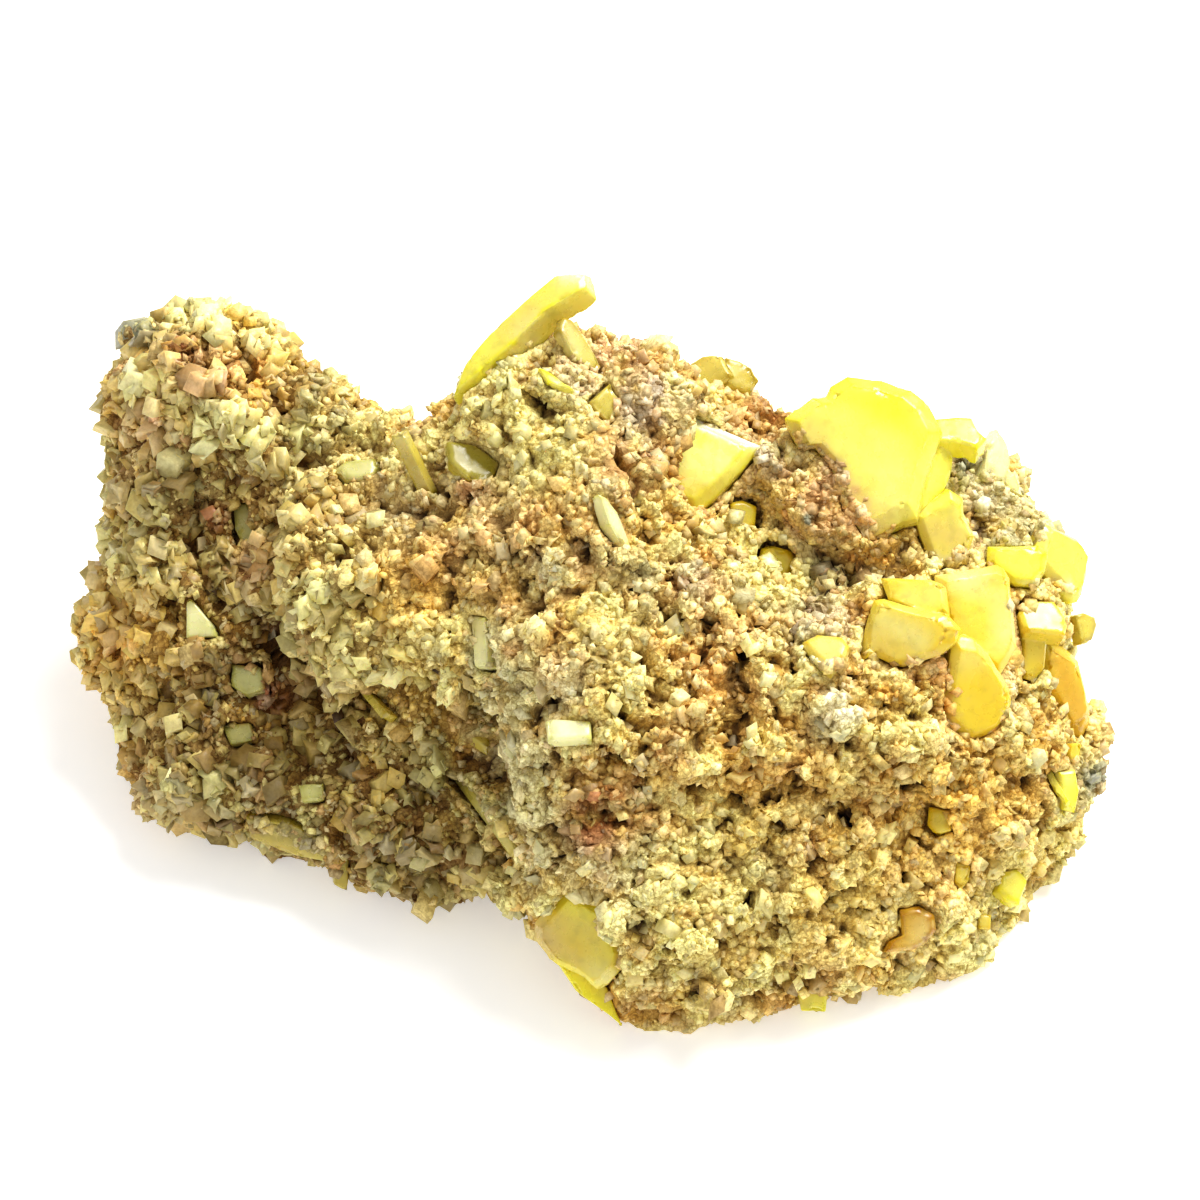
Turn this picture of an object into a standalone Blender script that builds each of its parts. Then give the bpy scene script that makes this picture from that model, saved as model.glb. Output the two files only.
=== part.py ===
"""A hand specimen of wulfenite: yellow tablets standing on a lump of rock that is crusted with small rhombs.

The rock is one solid. Each wulfenite tablet, or group of tablets grown into each other, is a solid of its own,
seated in a socket of the rock. Places are measured on the show side, as a collector looks at it from above the
table: "across" to the right and "up" the view are read in the view's plane, and "out" is the distance from
that plane towards the eye, all in millimetres. seen() turns them into the standing frame, in metres.
"""

import math
import random

import bmesh
import bpy
from mathutils import Matrix, Vector, noise
from mathutils.bvhtree import BVHTree
from mathutils.geometry import intersect_line_plane

MM = 0.001

# The show view, in degrees and millimetres
VIEW_ELEVATION = 50.0
EYE_DISTANCE = 450.0
VIEW_CENTRE_HEIGHT = 29.5
VIEW_CENTRE_BEHIND = 3.0
VIEW_CENTRE_LEFT = 0.5

# The rock, in millimetres
FORM_VOXEL = 1.3
ROCK_VOXEL = 3.5
SWELL = 9.0
SWELL_HEIGHT = 1.3
KNOBBLE = 4.2
KNOBBLE_HEIGHT = 0.7
DRUSE_PEAK = 0.95
DRUSE_DIP = 0.25
DRUSE_SLIDE = 0.4
RHOMB_COUNT = 45
RHOMB_EDGE = (2.2, 3.4)
RHOMB_PROUD = 0.08
RHOMB_CLEAR_OF_TABLE = 3.5
TABLE_SIZE = (200.0, 200.0, 100.0)

# Sockets of the crystals, in millimetres: the gap all round, and the room in front of a face
SEAT_GAP = 0.35
ROOM_IN_FRONT = 2.5

# How deep a tablet's bevel goes, for its width
BEVEL_SLOPE = 0.8

# How far a socket's sharp corner may run out, for the gap at its sides
SHARPEST_REACH = 1.2

SEED = 4

SIN_E = math.sin(math.radians(VIEW_ELEVATION))
COS_E = math.cos(math.radians(VIEW_ELEVATION))

# Lumps that the rock is built up from: across, up, out, then the half sizes across, up and out
LUMPS = (
    # right-hand mass
    (16, -12, -12, 30, 25, 22),
    (34, -19, -12, 14.5, 14, 14),
    (8.5, -31, -6, 12, 13, 14),
    (18, -30, -6, 12, 11.5, 12),
    (25, -28, -9, 16, 12, 12),
    (33, -32, -10, 8, 6, 8),
    (42.5, -25, -14, 5.5, 5, 7),
    (45, -17, -14, 5, 7, 9),
    (41, 0, -14, 7, 9, 10),
    (36, 10, -17, 7, 6, 9),
    (22, 12, -13, 12, 7, 11),
    (12, 16, -15, 8, 6.5, 9),
    # central ridge
    (-5, 18, -7, 11, 10, 11),
    (3, 17, -8, 8.5, 9, 10),
    (-2, 4, -4, 13, 14, 14),
    (0, -10, 0, 12, 16, 12),
    (0, -22, -1, 11, 13, 10),
    # shelf left of the ridge
    (-14, 0, -6, 12, 12, 11),
    (-24, 1, -8, 11.5, 11, 9),
    (-30, -1, -10, 6.5, 9, 7),
    # left-hand lobe
    (-37, -3, -22, 14, 20, 13),
    (-38, -15, -18, 9, 8, 9),
    (-25, -19, -15, 14, 9, 9),
    (-16, -21, -11, 12, 10, 9),
    (-47.3, -4.5, -19, 5, 5, 6),
    (-45, 3, -21, 5, 4, 7),
    # knob at the upper left
    (-37.5, 20, -15, 9.5, 10, 10),
    (-45.5, 15, -19, 4.5, 10, 8),
    (-44, 22.5, -18, 5.5, 5.5, 7),
    (-41, 9, -19, 8, 8, 9),
    (-29, 16, -15, 6, 7, 8),
    (-24, 11, -14, 8, 5, 8),
    (-17, 11.5, -11, 8, 5, 8),
    # hidden back and foot
    (8, 0, -30, 34, 15, 12),
    (-4, 8, -23, 32, 12, 12),
    (-32, 4, -30, 14, 15, 12),
    (-32, -8, -27, 15, 10, 10),
    (2, -18, -22, 30, 14, 14),
)

# Hollows that are taken out of it, given in the same way
HOLLOWS = (
    (17.5, 5, 4, 5, 6, 9),
    (14.5, 10.5, 1, 4, 4, 7),
    (27.5, 3.5, 2, 5.5, 2.6, 7),
    (22, 2.5, 4, 4, 3, 7),
    (43.5, -9, -1, 3.5, 4, 6),
    (31.5, -22.5, 3, 3, 4, 6),
    (42.5, -17.5, -4, 3, 2.4, 5),
    (14, -10.5, 12, 2, 3.2, 4),
    (-33, -8, -6, 3, 8, 5),
)

# Wulfenite crystals. A solid is named once and holds one tablet, or several that have grown into each other.
# Each tablet has: the foot where it meets the rock (across, up, and out where the eye sees past the rock's edge);
# how far its face stands proud of the rock there; the way the face looks (degrees to the right, degrees up); its
# thickness; its bevel; and the face's outline as seen on the show side (across, up).
CRYSTALS = {
    "top_blade": (
        ((-8, 25), 1.0, (-30, 25), 3.4, 0.5, (
            (-15.2, 20.3), (-13.7, 23.7), (-10.8, 27.1), (-7.5, 30.1), (-4.3, 32.9), (-1.8, 33.2),
            (-1.5, 31.3), (-5.5, 29.0), (-8.7, 25.7), (-12.0, 22.8))),
    ),
    "olive_plate": (
        ((-2, 24.5), 0.5, (35, 20), 1.4, 0.3, (
            (-3.6, 28.4), (-2.7, 28.1), (-1.9, 27.0), (0.3, 23.4), (-0.2, 22.8), (-2.5, 24.2), (-4.0, 27.0))),
    ),
    "small_plate": (
        ((-4.5, 22), 0.5, (10, 40), 0.9, 0.2, (
            (-6.2, 23.4), (-5.0, 22.8), (-3.5, 21.7), (-2.4, 21.0), (-5.2, 21.8))),
    ),
    "crest_plate": (
        ((0.5, 18.5), 0.9, (20, 10), 1.6, 0.3, (
            (1.1, 21.7), (2.2, 19.8), (1.2, 17.6), (0.0, 18.5), (-1.0, 19.8))),
    ),
    "centre_block": (
        ((10, 14), 1.6, (5, 20), 6.0, 1.2, (
            (5.5, 15.6), (6.3, 17.5), (8.4, 18.7), (9.1, 18.8), (16.3, 15.7), (14.5, 13.5),
            (12.0, 10.9), (9.6, 8.8), (7.5, 9.6), (7.2, 11.8), (5.6, 14.0))),
    ),
    "great_tablet": (
        ((27, 13), 2.0, (-5, 12), 4.2, 1.3, (
            (18.4, 18.4), (21.2, 20.6), (22.5, 20.6), (23.0, 21.6), (24.7, 22.6), (28.1, 22.2), (31.0, 21.2),
            (32.8, 19.8), (34.2, 17.0), (33.4, 14.9), (32.3, 11.9), (31.7, 8.4), (30.2, 8.1), (26.8, 6.2),
            (25.7, 7.6), (24.2, 9.4), (23.0, 13.9), (21.3, 15.7), (19.8, 15.6))),
        ((34, 13, -5), 0.8, (35, 0), 6.0, 0.5, (
            (34.2, 16.2), (35.1, 15.6), (35.5, 14.2), (35.4, 12.8), (34.5, 10.7), (31.9, 8.4),
            (32.2, 10.8), (32.9, 13.1))),
        ((35, 7, -4.6), 1.2, (10, -5), 6.0, 0.8, (
            (35.1, 11.0), (36.4, 10.1), (36.5, 8.6), (37.6, 6.3), (36.9, 4.4), (36.6, 3.4), (33.4, 3.0),
            (32.4, 5.8), (31.5, 8.6))),
        ((36, 16, -4.5), 0.8, (5, 40), 2.5, 0.4, (
            (33.2, 18.3), (35.7, 18.5), (37.2, 18.4), (37.9, 17.0), (38.7, 16.3), (37.8, 15.3),
            (35.7, 15.9), (33.6, 16.0))),
    ),
    "upper_rim_pair": (
        ((40, 14, -12), 0.6, (40, 10), 1.6, 0.4, (
            (40.0, 17.2), (41.0, 15.5), (41.2, 13.5), (40.5, 12.0), (38.5, 12.0), (39.0, 15.5))),
        ((41, 11.5, -12), 0.8, (20, 10), 1.2, 0.3, (
            (40.6, 13.2), (41.6, 12.7), (42.2, 11.0), (42.6, 10.0), (41.0, 11.0), (40.2, 12.2))),
    ),
    "right_rim_tablet": (
        ((46, 4), 0.8, (30, 10), 3.5, 0.9, (
            (44.6, 7.8), (45.6, 7.5), (46.8, 6.9), (48.1, 6.2), (48.8, 5.4), (49.3, 4.4), (49.1, 3.0),
            (48.7, 0.9), (48.1, -0.1), (47.4, -0.2), (43.6, 4.0))),
        ((41.5, 3.5), 1.0, (0, 15), 3.0, 0.7, (
            (38.8, 5.5), (43.9, 5.6), (44.9, 4.8), (44.6, 3.0), (43.5, 1.6), (41.5, 1.6), (38.7, 3.7))),
    ),
    "right_cluster": (
        ((37.5, -1), 1.4, (8, 12), 4.0, 0.9, (
            (33.6, 2.6), (39.8, 3.7), (40.5, 3.3), (41.1, 2.4), (41.2, 1.0), (41.5, -1.2), (41.8, -4.6),
            (41.2, -5.8), (40.0, -7.6), (38.5, -6.2), (35.5, -4.0), (34.3, -1.8))),
        ((31, 0.5), 1.0, (-10, 20), 3.0, 0.5, (
            (28.0, 2.3), (33.0, 2.2), (34.5, 1.6), (34.8, -1.5), (33.0, -1.7), (30.5, -0.6), (28.8, 0.2))),
        ((30, -3.5), 1.4, (-10, 0), 4.0, 0.9, (
            (27.3, 0.0), (28.0, 0.1), (30.0, -0.5), (34.5, -1.6), (35.8, -3.0), (35.4, -4.3), (34.0, -5.5),
            (30.0, -6.8), (27.0, -5.5), (25.8, -6.5), (26.2, -4.0), (26.6, -2.0))),
        ((38, -9), 1.4, (10, -8), 4.0, 0.9, (
            (35.5, -3.7), (37.5, -4.0), (39.0, -5.5), (40.5, -8.0), (41.3, -9.5), (41.4, -10.5),
            (40.8, -11.5), (40.0, -13.0), (38.5, -13.8), (37.0, -14.3), (34.5, -12.2), (34.5, -10.0))),
    ),
    "rim_cluster": (
        ((44, -1.5), 0.8, (15, 30), 2.4, 0.4, (
            (42.5, 0.2), (41.9, -1.2), (42.6, -3.0), (46.6, -3.4), (46.8, -2.4), (46.5, -1.4), (45.5, 0.0))),
        ((43, -5), 0.8, (15, -5), 3.0, 0.5, (
            (42.3, -2.3), (44.9, -3.0), (44.6, -7.0), (43.5, -8.2), (42.2, -7.9), (42.3, -5.8))),
        ((46, -9, -9), 1.2, (20, -5), 4.0, 1.2, (
            (44.3, -3.2), (45.0, -3.7), (47.2, -5.2), (48.2, -6.2), (49.0, -9.0), (49.4, -11.5), (49.2, -12.8),
            (48.5, -14.0), (47.5, -13.5), (46.2, -11.2), (45.0, -9.0), (44.2, -6.0))),
    ),
    "rim_chip": (
        ((48.6, -2.6, -11), 0.6, (35, 10), 1.6, 0.3, (
            (47.6, -1.5), (48.5, -1.2), (49.7, -1.7), (49.8, -2.5), (49.3, -4.2), (48.3, -4.4))),
    ),
    "rim_spur": (
        ((47.5, -15.2), 0.6, (30, 0), 1.2, 0.2, (
            (47.2, -14.4), (48.3, -14.3), (48.0, -15.5), (47.7, -16.5), (47.0, -16.0))),
    ),
    "rim_blades": (
        ((45.6, -18.6, -4.5), 0.7, (-25, 20), 1.2, 0.2, (
            (44.3, -16.5), (45.0, -16.8), (46.8, -20.0), (46.5, -20.5), (45.2, -19.0))),
        ((47, -19.4, -4.5), 0.7, (20, 0), 1.4, 0.3, (
            (46.0, -17.2), (47.6, -17.0), (48.0, -19.0), (47.6, -21.3), (46.4, -21.0))),
    ),
    "cavity_octagon": (
        ((17.7, 3.6), 1.0, (-8, 5), 1.8, 0.5, (
            (16.0, 5.2), (16.8, 5.6), (19.0, 5.0), (19.7, 4.0), (19.0, 2.5), (17.8, 1.8), (16.5, 2.3),
            (15.7, 3.5))),
    ),
    "cavity_plate": (
        ((14.4, 8.4), 0.8, (15, 10), 1.6, 0.4, (
            (13.0, 9.8), (14.4, 10.1), (15.8, 9.4), (15.6, 7.4), (14.3, 6.9), (13.1, 7.4))),
    ),
    "edge_plate": (
        ((23, -5), 1.0, (-5, 35), 2.0, 0.5, (
            (20.0, -4.0), (21.5, -3.2), (24.2, -3.5), (25.0, -4.5), (24.4, -6.0), (23.0, -6.8), (21.5, -5.8))),
    ),
    "cave_tablet": (
        ((34, -22), 1.2, (-20, 10), 1.6, 0.3, (
            (32.8, -20.6), (35.0, -21.0), (35.0, -23.0), (33.5, -23.5), (32.6, -22.5))),
    ),
    "low_oval": (
        ((36.4, -27.5), 0.8, (10, 5), 1.4, 0.3, (
            (35.7, -26.2), (37.2, -26.5), (37.0, -28.0), (36.2, -29.0), (35.5, -28.2))),
    ),
    "low_orange": (
        ((31.5, -33), 0.9, (5, 0), 2.0, 0.5, (
            (30.0, -31.0), (32.0, -30.7), (33.5, -31.5), (33.7, -33.0), (33.0, -34.2), (31.5, -35.0),
            (28.4, -35.4), (29.0, -34.2), (30.3, -33.6))),
    ),
    "low_rim": (
        ((41.5, -28.7), 0.8, (25, 15), 1.8, 0.4, (
            (40.3, -27.0), (42.0, -26.8), (43.0, -28.0), (42.0, -30.5), (40.8, -30.0), (40.0, -29.0))),
    ),
    "low_chip": (
        ((38.5, -32), 0.7, (15, 0), 1.2, 0.2, (
            (37.9, -31.1), (39.2, -31.4), (39.1, -33.0), (38.0, -32.9))),
    ),
    "bottom_chip": (
        ((21.2, -40.2, -2), 0.8, (0, -10), 1.6, 0.3, (
            (19.6, -39.0), (22.8, -39.3), (22.6, -41.3), (20.1, -41.2))),
    ),
    "bottom_tablet": (
        ((-2, -34), 1.2, (-12, -5), 4.0, 1.0, (
            (-3.6, -28.9), (-1.1, -29.9), (0.4, -30.8), (1.2, -33.0), (2.4, -35.7), (1.9, -37.1),
            (0.4, -38.8), (-0.4, -39.1), (-2.3, -37.6), (-5.0, -36.4), (-6.7, -34.0), (-6.8, -32.5),
            (-5.7, -31.3))),
        ((-1, -39, 0), 0.8, (10, -5), 1.6, 0.3, (
            (-4.0, -36.6), (-2.3, -39.2), (1.1, -41.7), (2.3, -42.7), (1.8, -41.5), (0.8, -38.8),
            (-1.0, -37.2))),
    ),
    "back_pair": (
        ((10.5, 22, -14), 1.0, (-20, 20), 2.4, 0.4, (
            (7.8, 22.2), (9.0, 23.8), (10.2, 24.5), (12.0, 24.7), (13.2, 22.5), (11.0, 21.0))),
        ((14.2, 22, -14), 1.0, (15, 15), 2.4, 0.4, (
            (12.6, 24.4), (14.0, 24.0), (15.3, 23.2), (16.0, 22.0), (15.2, 20.5), (12.4, 21.5))),
    ),
    "shelf_plate": (
        ((-24.2, 13), 0.9, (0, 30), 1.8, 0.4, (
            (-26.7, 13.1), (-25.5, 14.0), (-22.5, 14.3), (-21.8, 13.8), (-22.1, 12.8), (-23.5, 12.0),
            (-25.5, 12.1))),
    ),
    "shelf_blade": (
        ((-17.6, 13), 1.6, (55, 15), 1.6, 0.15, (
            (-19.8, 16.8), (-19.2, 17.1), (-16.1, 10.8), (-16.7, 10.4))),
    ),
    "olive_leaves": (
        ((-12.6, 14), 1.0, (10, 30), 1.8, 0.3, (
            (-15.3, 16.0), (-12.5, 15.6), (-10.0, 13.8), (-10.8, 11.8), (-13.0, 12.0), (-15.0, 13.8))),
    ),
    "white_triangle": (
        ((-40.2, -2.2), 0.9, (-5, 5), 1.4, 0.2, (
            (-41.4, 0.0), (-41.0, 0.2), (-38.5, -2.8), (-38.2, -3.7), (-41.4, -3.8))),
    ),
    "green_wedge": (
        ((-35.6, 7.8), 0.9, (-15, 10), 1.6, 0.3, (
            (-36.8, 10.0), (-34.9, 9.6), (-34.3, 6.0), (-35.8, 5.5), (-36.6, 7.0))),
    ),
    "green_cube_upper": (
        ((-35.4, -7.8), 1.0, (-10, 15), 2.0, 0.3, (
            (-37.0, -6.3), (-34.0, -6.6), (-33.5, -8.8), (-35.5, -9.5), (-37.0, -8.5))),
    ),
    "green_cube_middle": (
        ((-36.2, -13.3), 1.0, (-10, 15), 1.8, 0.3, (
            (-38.0, -12.4), (-35.0, -12.2), (-34.5, -14.0), (-37.0, -14.5))),
    ),
    "green_cube_lower": (
        ((-28.8, -19.2), 1.0, (0, 15), 1.6, 0.3, (
            (-30.2, -18.4), (-27.6, -18.3), (-27.6, -20.0), (-29.8, -20.1))),
    ),
    "lobe_blade": (
        ((-23.5, -9.4), 1.2, (-45, 20), 1.6, 0.15, (
            (-25.7, -7.3), (-25.0, -7.0), (-21.3, -11.2), (-21.9, -11.8))),
    ),
    "plateau_needle": (
        ((-15, -11.8), 1.0, (10, 50), 1.2, 0.15, (
            (-19.4, -9.5), (-19.0, -8.9), (-10.9, -14.0), (-11.2, -14.7))),
    ),
    "plateau_plate": (
        ((-12, -21), 1.0, (-50, 5), 2.4, 0.2, (
            (-15.7, -16.7), (-14.8, -16.2), (-8.2, -25.0), (-9.0, -25.7))),
    ),
    "striated_plate": (
        ((-12.1, -4.2), 1.1, (-45, 10), 2.0, 0.2, (
            (-13.0, -1.5), (-11.6, -1.7), (-11.2, -6.6), (-12.6, -6.8))),
    ),
    "ridge_plate": (
        ((-3, -13), 0.9, (0, 30), 1.6, 0.3, (
            (-5.5, -11.8), (-0.9, -12.0), (-0.8, -13.8), (-5.2, -14.0))),
    ),
    "ridge_blade": (
        ((1.6, 7.8), 1.0, (45, 10), 1.5, 0.2, (
            (0.0, 10.6), (0.7, 10.3), (1.8, 8.8), (3.2, 5.2), (2.2, 5.5), (1.0, 7.5))),
    ),
    "lobe_foot_plates": (
        ((-31, -24), 0.8, (-10, -20), 2.2, 0.3, (
            (-35.5, -21.8), (-31.0, -22.5), (-26.0, -25.0), (-26.0, -26.6), (-31.0, -25.5), (-35.0, -23.8))),
        ((-25.7, -27), 0.8, (10, -10), 2.0, 0.3, (
            (-26.6, -25.0), (-25.0, -25.3), (-25.2, -29.3), (-26.6, -28.5))),
    ),
}

# Colours of the finishes, as red, green, blue
ROCK_COLOUR = (0.52, 0.40, 0.22)
WULFENITE_COLOUR = (0.86, 0.74, 0.10)

rng = random.Random(SEED)


def standing(view_point):
    """A point of the view frame (across, up, out) in the standing frame, in metres."""
    across, up, out = view_point
    return Vector((
        across - VIEW_CENTRE_LEFT,
        up * SIN_E - out * COS_E + VIEW_CENTRE_BEHIND,
        up * COS_E + out * SIN_E + VIEW_CENTRE_HEIGHT,
    )) * MM


def seen(across, up, out=0.0):
    """The point at that depth that the eye sees at across, up in the view's plane."""
    nearer = 1 - out / EYE_DISTANCE
    return standing((across * nearer, up * nearer, out))


EYE = standing((0, 0, EYE_DISTANCE))
VIEW_TO_STANDING = Matrix((
    (1, 0, 0),
    (0, SIN_E, -COS_E),
    (0, COS_E, SIN_E),
))
TOWARDS_EYE = VIEW_TO_STANDING.col[2]


def material(name, colour, roughness):
    made = bpy.data.materials.new(name)
    made.use_nodes = True
    shader = made.node_tree.nodes["Principled BSDF"]
    shader.inputs["Base Color"].default_value = (*colour, 1)
    shader.inputs["Roughness"].default_value = roughness
    shader.inputs["Metallic"].default_value = 0.0
    return made


def new_object(name, mesh, finish=None):
    made = bpy.data.objects.new(name, mesh)
    bpy.context.scene.collection.objects.link(made)
    if finish:
        mesh.materials.clear()
        mesh.materials.append(finish)
    return made


def mesh_from(bm, name):
    mesh = bpy.data.meshes.new(name)
    bm.to_mesh(mesh)
    bm.free()
    return mesh


def evaluated_mesh(obj):
    """The object's mesh with its modifiers applied, and the object itself taken away."""
    bpy.context.view_layer.update()
    graph = bpy.context.evaluated_depsgraph_get()
    mesh = bpy.data.meshes.new_from_object(obj.evaluated_get(graph))
    bpy.data.objects.remove(obj)
    return mesh


def combined(mesh, others, operation):
    """The mesh after one Boolean with each of the other objects, which are then taken away."""
    obj = new_object("combining", mesh)
    for other in others:
        modifier = obj.modifiers.new(operation.lower(), "BOOLEAN")
        modifier.operation = operation
        modifier.object = other
    result = evaluated_mesh(obj)
    for other in others:
        bpy.data.objects.remove(other)
    return result


def largest_island(mesh):
    """Keeps the biggest connected part of a mesh, so that no crumb is left by a cut."""
    bm = bmesh.new()
    bm.from_mesh(mesh)
    unseen = set(bm.verts)
    islands = []
    while unseen:
        island = {unseen.pop()}
        growing = list(island)
        while growing:
            for edge in growing.pop().link_edges:
                for other in edge.verts:
                    if other in unseen:
                        unseen.remove(other)
                        island.add(other)
                        growing.append(other)
        islands.append(island)
    biggest = max(islands, key=len)
    bmesh.ops.delete(bm, geom=[v for v in bm.verts if v not in biggest], context="VERTS")
    bm.to_mesh(mesh)
    bm.free()


def lumps_object(lumps, name):
    """One skin round a heap of ellipsoids that lie in each other."""
    bm = bmesh.new()
    for across, up, out, half_across, half_up, half_out in lumps:
        place = Matrix.Translation(seen(across, up, out)) @ VIEW_TO_STANDING.to_4x4()
        size = Matrix.Diagonal((half_across * MM, half_up * MM, half_out * MM, 1))
        bmesh.ops.create_icosphere(bm, subdivisions=3, radius=1, matrix=place @ size)
    heap = new_object(name, mesh_from(bm, name))
    return new_object(name, remeshed(heap, FORM_VOXEL))


def remeshed(obj, voxel):
    remesh = obj.modifiers.new("even skin", "REMESH")
    remesh.mode = "VOXEL"
    remesh.voxel_size = voxel * MM
    return evaluated_mesh(obj)


def rock_form():
    """The rock's broad form: lumps less hollows."""
    form = lumps_object(LUMPS, "form")
    whole = combined(form.data, [lumps_object(HOLLOWS, "hollows")], "DIFFERENCE")
    bpy.data.objects.remove(form)
    return whole


def surface_tree(mesh):
    bm = bmesh.new()
    bm.from_mesh(mesh)
    tree = BVHTree.FromBMesh(bm)
    bm.free()
    return tree


def crossing_vertices(bm):
    """The vertices of faces that cut through another face without sharing a corner with it."""
    bm.faces.ensure_lookup_table()
    tree = BVHTree.FromBMesh(bm)
    found = set()
    for first, second in tree.overlap(tree):
        one, other = bm.faces[first].verts, bm.faces[second].verts
        if first != second and not set(one) & set(other):
            found.update(one, other)
    return found


def roughen(mesh):
    """Swells and knobbles the form, then lifts one vertex in every ring of neighbours as the tip of a crystal."""
    bm = bmesh.new()
    bm.from_mesh(mesh)
    bmesh.ops.triangulate(bm, faces=bm.faces)
    bm.normal_update()
    order = list(bm.verts)
    rng.shuffle(order)
    tips = set()
    calm = {}
    for vertex in order:
        calm[vertex] = vertex.co.copy()
        if not any(edge.other_vert(vertex) in tips for edge in vertex.link_edges):
            tips.add(vertex)
    for vertex in order:
        place = calm[vertex] / MM
        height = SWELL_HEIGHT * noise.noise(place / SWELL) + KNOBBLE_HEIGHT * noise.noise(place / KNOBBLE)
        height += DRUSE_PEAK * rng.uniform(0.6, 1.3) if vertex in tips else -DRUSE_DIP
        slide = Vector([rng.uniform(-DRUSE_SLIDE, DRUSE_SLIDE) for _ in range(3)])
        vertex.co += (vertex.normal * height + slide) * MM
    crossing = crossing_vertices(bm)
    while crossing:
        for vertex in crossing:
            vertex.co = vertex.co.lerp(calm[vertex], 0.5)
        crossing = crossing_vertices(bm)
    bm.to_mesh(mesh)
    bm.free()


def rhomb(bm, centre, turn, edge):
    """Adds a cleavage rhomb: a cube squashed along its long diagonal, which stands along the turned z axis."""
    half = edge / 2 * MM
    corners = [Vector((x, y, z)) * half for x in (-1, 1) for y in (-1, 1) for z in (-1, 1)]
    stand = Vector((1, 1, 1)).rotation_difference(Vector((0, 0, 1))).to_matrix()
    squash = Matrix.Diagonal((1.12, 1.12, 0.78))
    whole = turn @ squash @ stand
    verts = [bm.verts.new(centre + whole @ corner) for corner in corners]
    for face in ((0, 1, 3, 2), (4, 6, 7, 5), (0, 4, 5, 1), (2, 3, 7, 6), (0, 2, 6, 4), (1, 5, 7, 3)):
        bm.faces.new([verts[i] for i in face])


def random_turn():
    spin = Matrix.Rotation(rng.uniform(0, math.tau), 3, "Z")
    tip = Matrix.Rotation(rng.uniform(0, math.pi), 3, "X")
    return Matrix.Rotation(rng.uniform(0, math.tau), 3, "Z") @ tip @ spin


def druse_rhombs(rock):
    """Rhombs spread over the upper rock, half sunk in it and clear of each other."""
    bm = bmesh.new()
    faces = [face for face in rock.polygons if face.center.z > RHOMB_CLEAR_OF_TABLE * MM]
    placed = []
    while len(placed) < RHOMB_COUNT:
        face = rng.choice(faces)
        edge = rng.uniform(*RHOMB_EDGE)
        if all((face.center - other).length > 1.8 * edge * MM for other in placed):
            placed.append(face.center.copy())
            rhomb(bm, face.center + face.normal * RHOMB_PROUD * edge * MM, random_turn(), edge)
    return new_object("rhombs", mesh_from(bm, "rhombs"))


def table():
    """The block that cuts the flat face the specimen rests on."""
    width, depth, height = TABLE_SIZE
    bm = bmesh.new()
    place = Matrix.Translation((0, 0, -height / 2 * MM))
    size = Matrix.Diagonal((width * MM, depth * MM, height * MM, 1))
    bmesh.ops.create_cube(bm, size=1, matrix=place @ size)
    return new_object("table", mesh_from(bm, "table"))


def depth_of_rock(tree, across, up):
    """How far out the rock's surface lies where the eye sees across, up."""
    hit, _, _, _ = tree.ray_cast(EYE, (seen(across, up) - EYE).normalized())
    return (hit - standing((0, 0, 0))).dot(TOWARDS_EYE) / MM


def on_plane(outline, point, normal):
    """The outline laid on the plane along the sight lines."""
    return [intersect_line_plane(EYE, seen(across, up), point, normal) for across, up in outline]


def drawn_in(corners, width):
    """The corners moved towards their middle, by about the width."""
    middle = sum(corners, Vector()) / len(corners)
    reach = sum((corner - middle).length for corner in corners) / len(corners)
    return [corner.lerp(middle, width * MM / reach) for corner in corners]


def widened(corners, normal, width):
    """The corners moved out so that every side lies the width further out."""
    turning = sum((a.cross(b) for a, b in zip(corners, corners[1:] + corners[:1])), Vector()).dot(normal)
    outwards = normal if turning < 0 else -normal
    moved = []
    for before, here, after in zip(corners[-1:] + corners[:-1], corners, corners[1:] + corners[:1]):
        first = outwards.cross(here - before).normalized()
        second = outwards.cross(after - here).normalized()
        reach = min(SHARPEST_REACH, 1 / (1 + first.dot(second)))
        moved.append(here + (first + second) * reach * width * MM)
    return moved


def sunk(corners, normal, depth):
    return [corner - normal * depth * MM for corner in corners]


def solid_through(rings):
    """A closed solid that passes through the rings from front to back, with a flat face on each end."""
    bm = bmesh.new()
    rows = [[bm.verts.new(corner) for corner in one_ring] for one_ring in rings]
    count = len(rows[0])
    bm.faces.new(rows[0])
    bm.faces.new(reversed(rows[-1]))
    for front, back in zip(rows, rows[1:]):
        for i in range(count):
            j = (i + 1) % count
            bm.faces.new((front[j], front[i], back[i], back[j]))
    bmesh.ops.recalc_face_normals(bm, faces=bm.faces)
    bmesh.ops.triangulate(bm, faces=bm.faces)
    return mesh_from(bm, "tablet")


def tablet_plane(tree, tablet):
    """A point on a tablet's face, and the way it looks."""
    (across, up, *depth), proud, (yaw, pitch) = tablet[:3]
    yaw, pitch = math.radians(yaw), math.radians(pitch)
    looks = Vector((math.sin(yaw) * math.cos(pitch), math.sin(pitch), math.cos(yaw) * math.cos(pitch)))
    depth = depth[0] if depth else depth_of_rock(tree, across, up)
    return seen(across, up, depth + proud), VIEW_TO_STANDING @ looks


def tablet_solid(tree, tablet):
    thickness, bevel, outline = tablet[3:]
    point, normal = tablet_plane(tree, tablet)
    corners = on_plane(outline, point, normal)
    return solid_through((
        drawn_in(corners, bevel),
        sunk(corners, normal, bevel * BEVEL_SLOPE),
        sunk(corners, normal, thickness),
    ))


def socket(tree, tablet):
    """The room that the rock leaves for a tablet, open towards the eye."""
    thickness, _, outline = tablet[3:]
    point, normal = tablet_plane(tree, tablet)
    corners = widened(on_plane(outline, point, normal), normal, SEAT_GAP)
    return new_object("socket", solid_through((
        sunk(corners, normal, -ROOM_IN_FRONT),
        sunk(corners, normal, thickness + SEAT_GAP),
    )))


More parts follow.
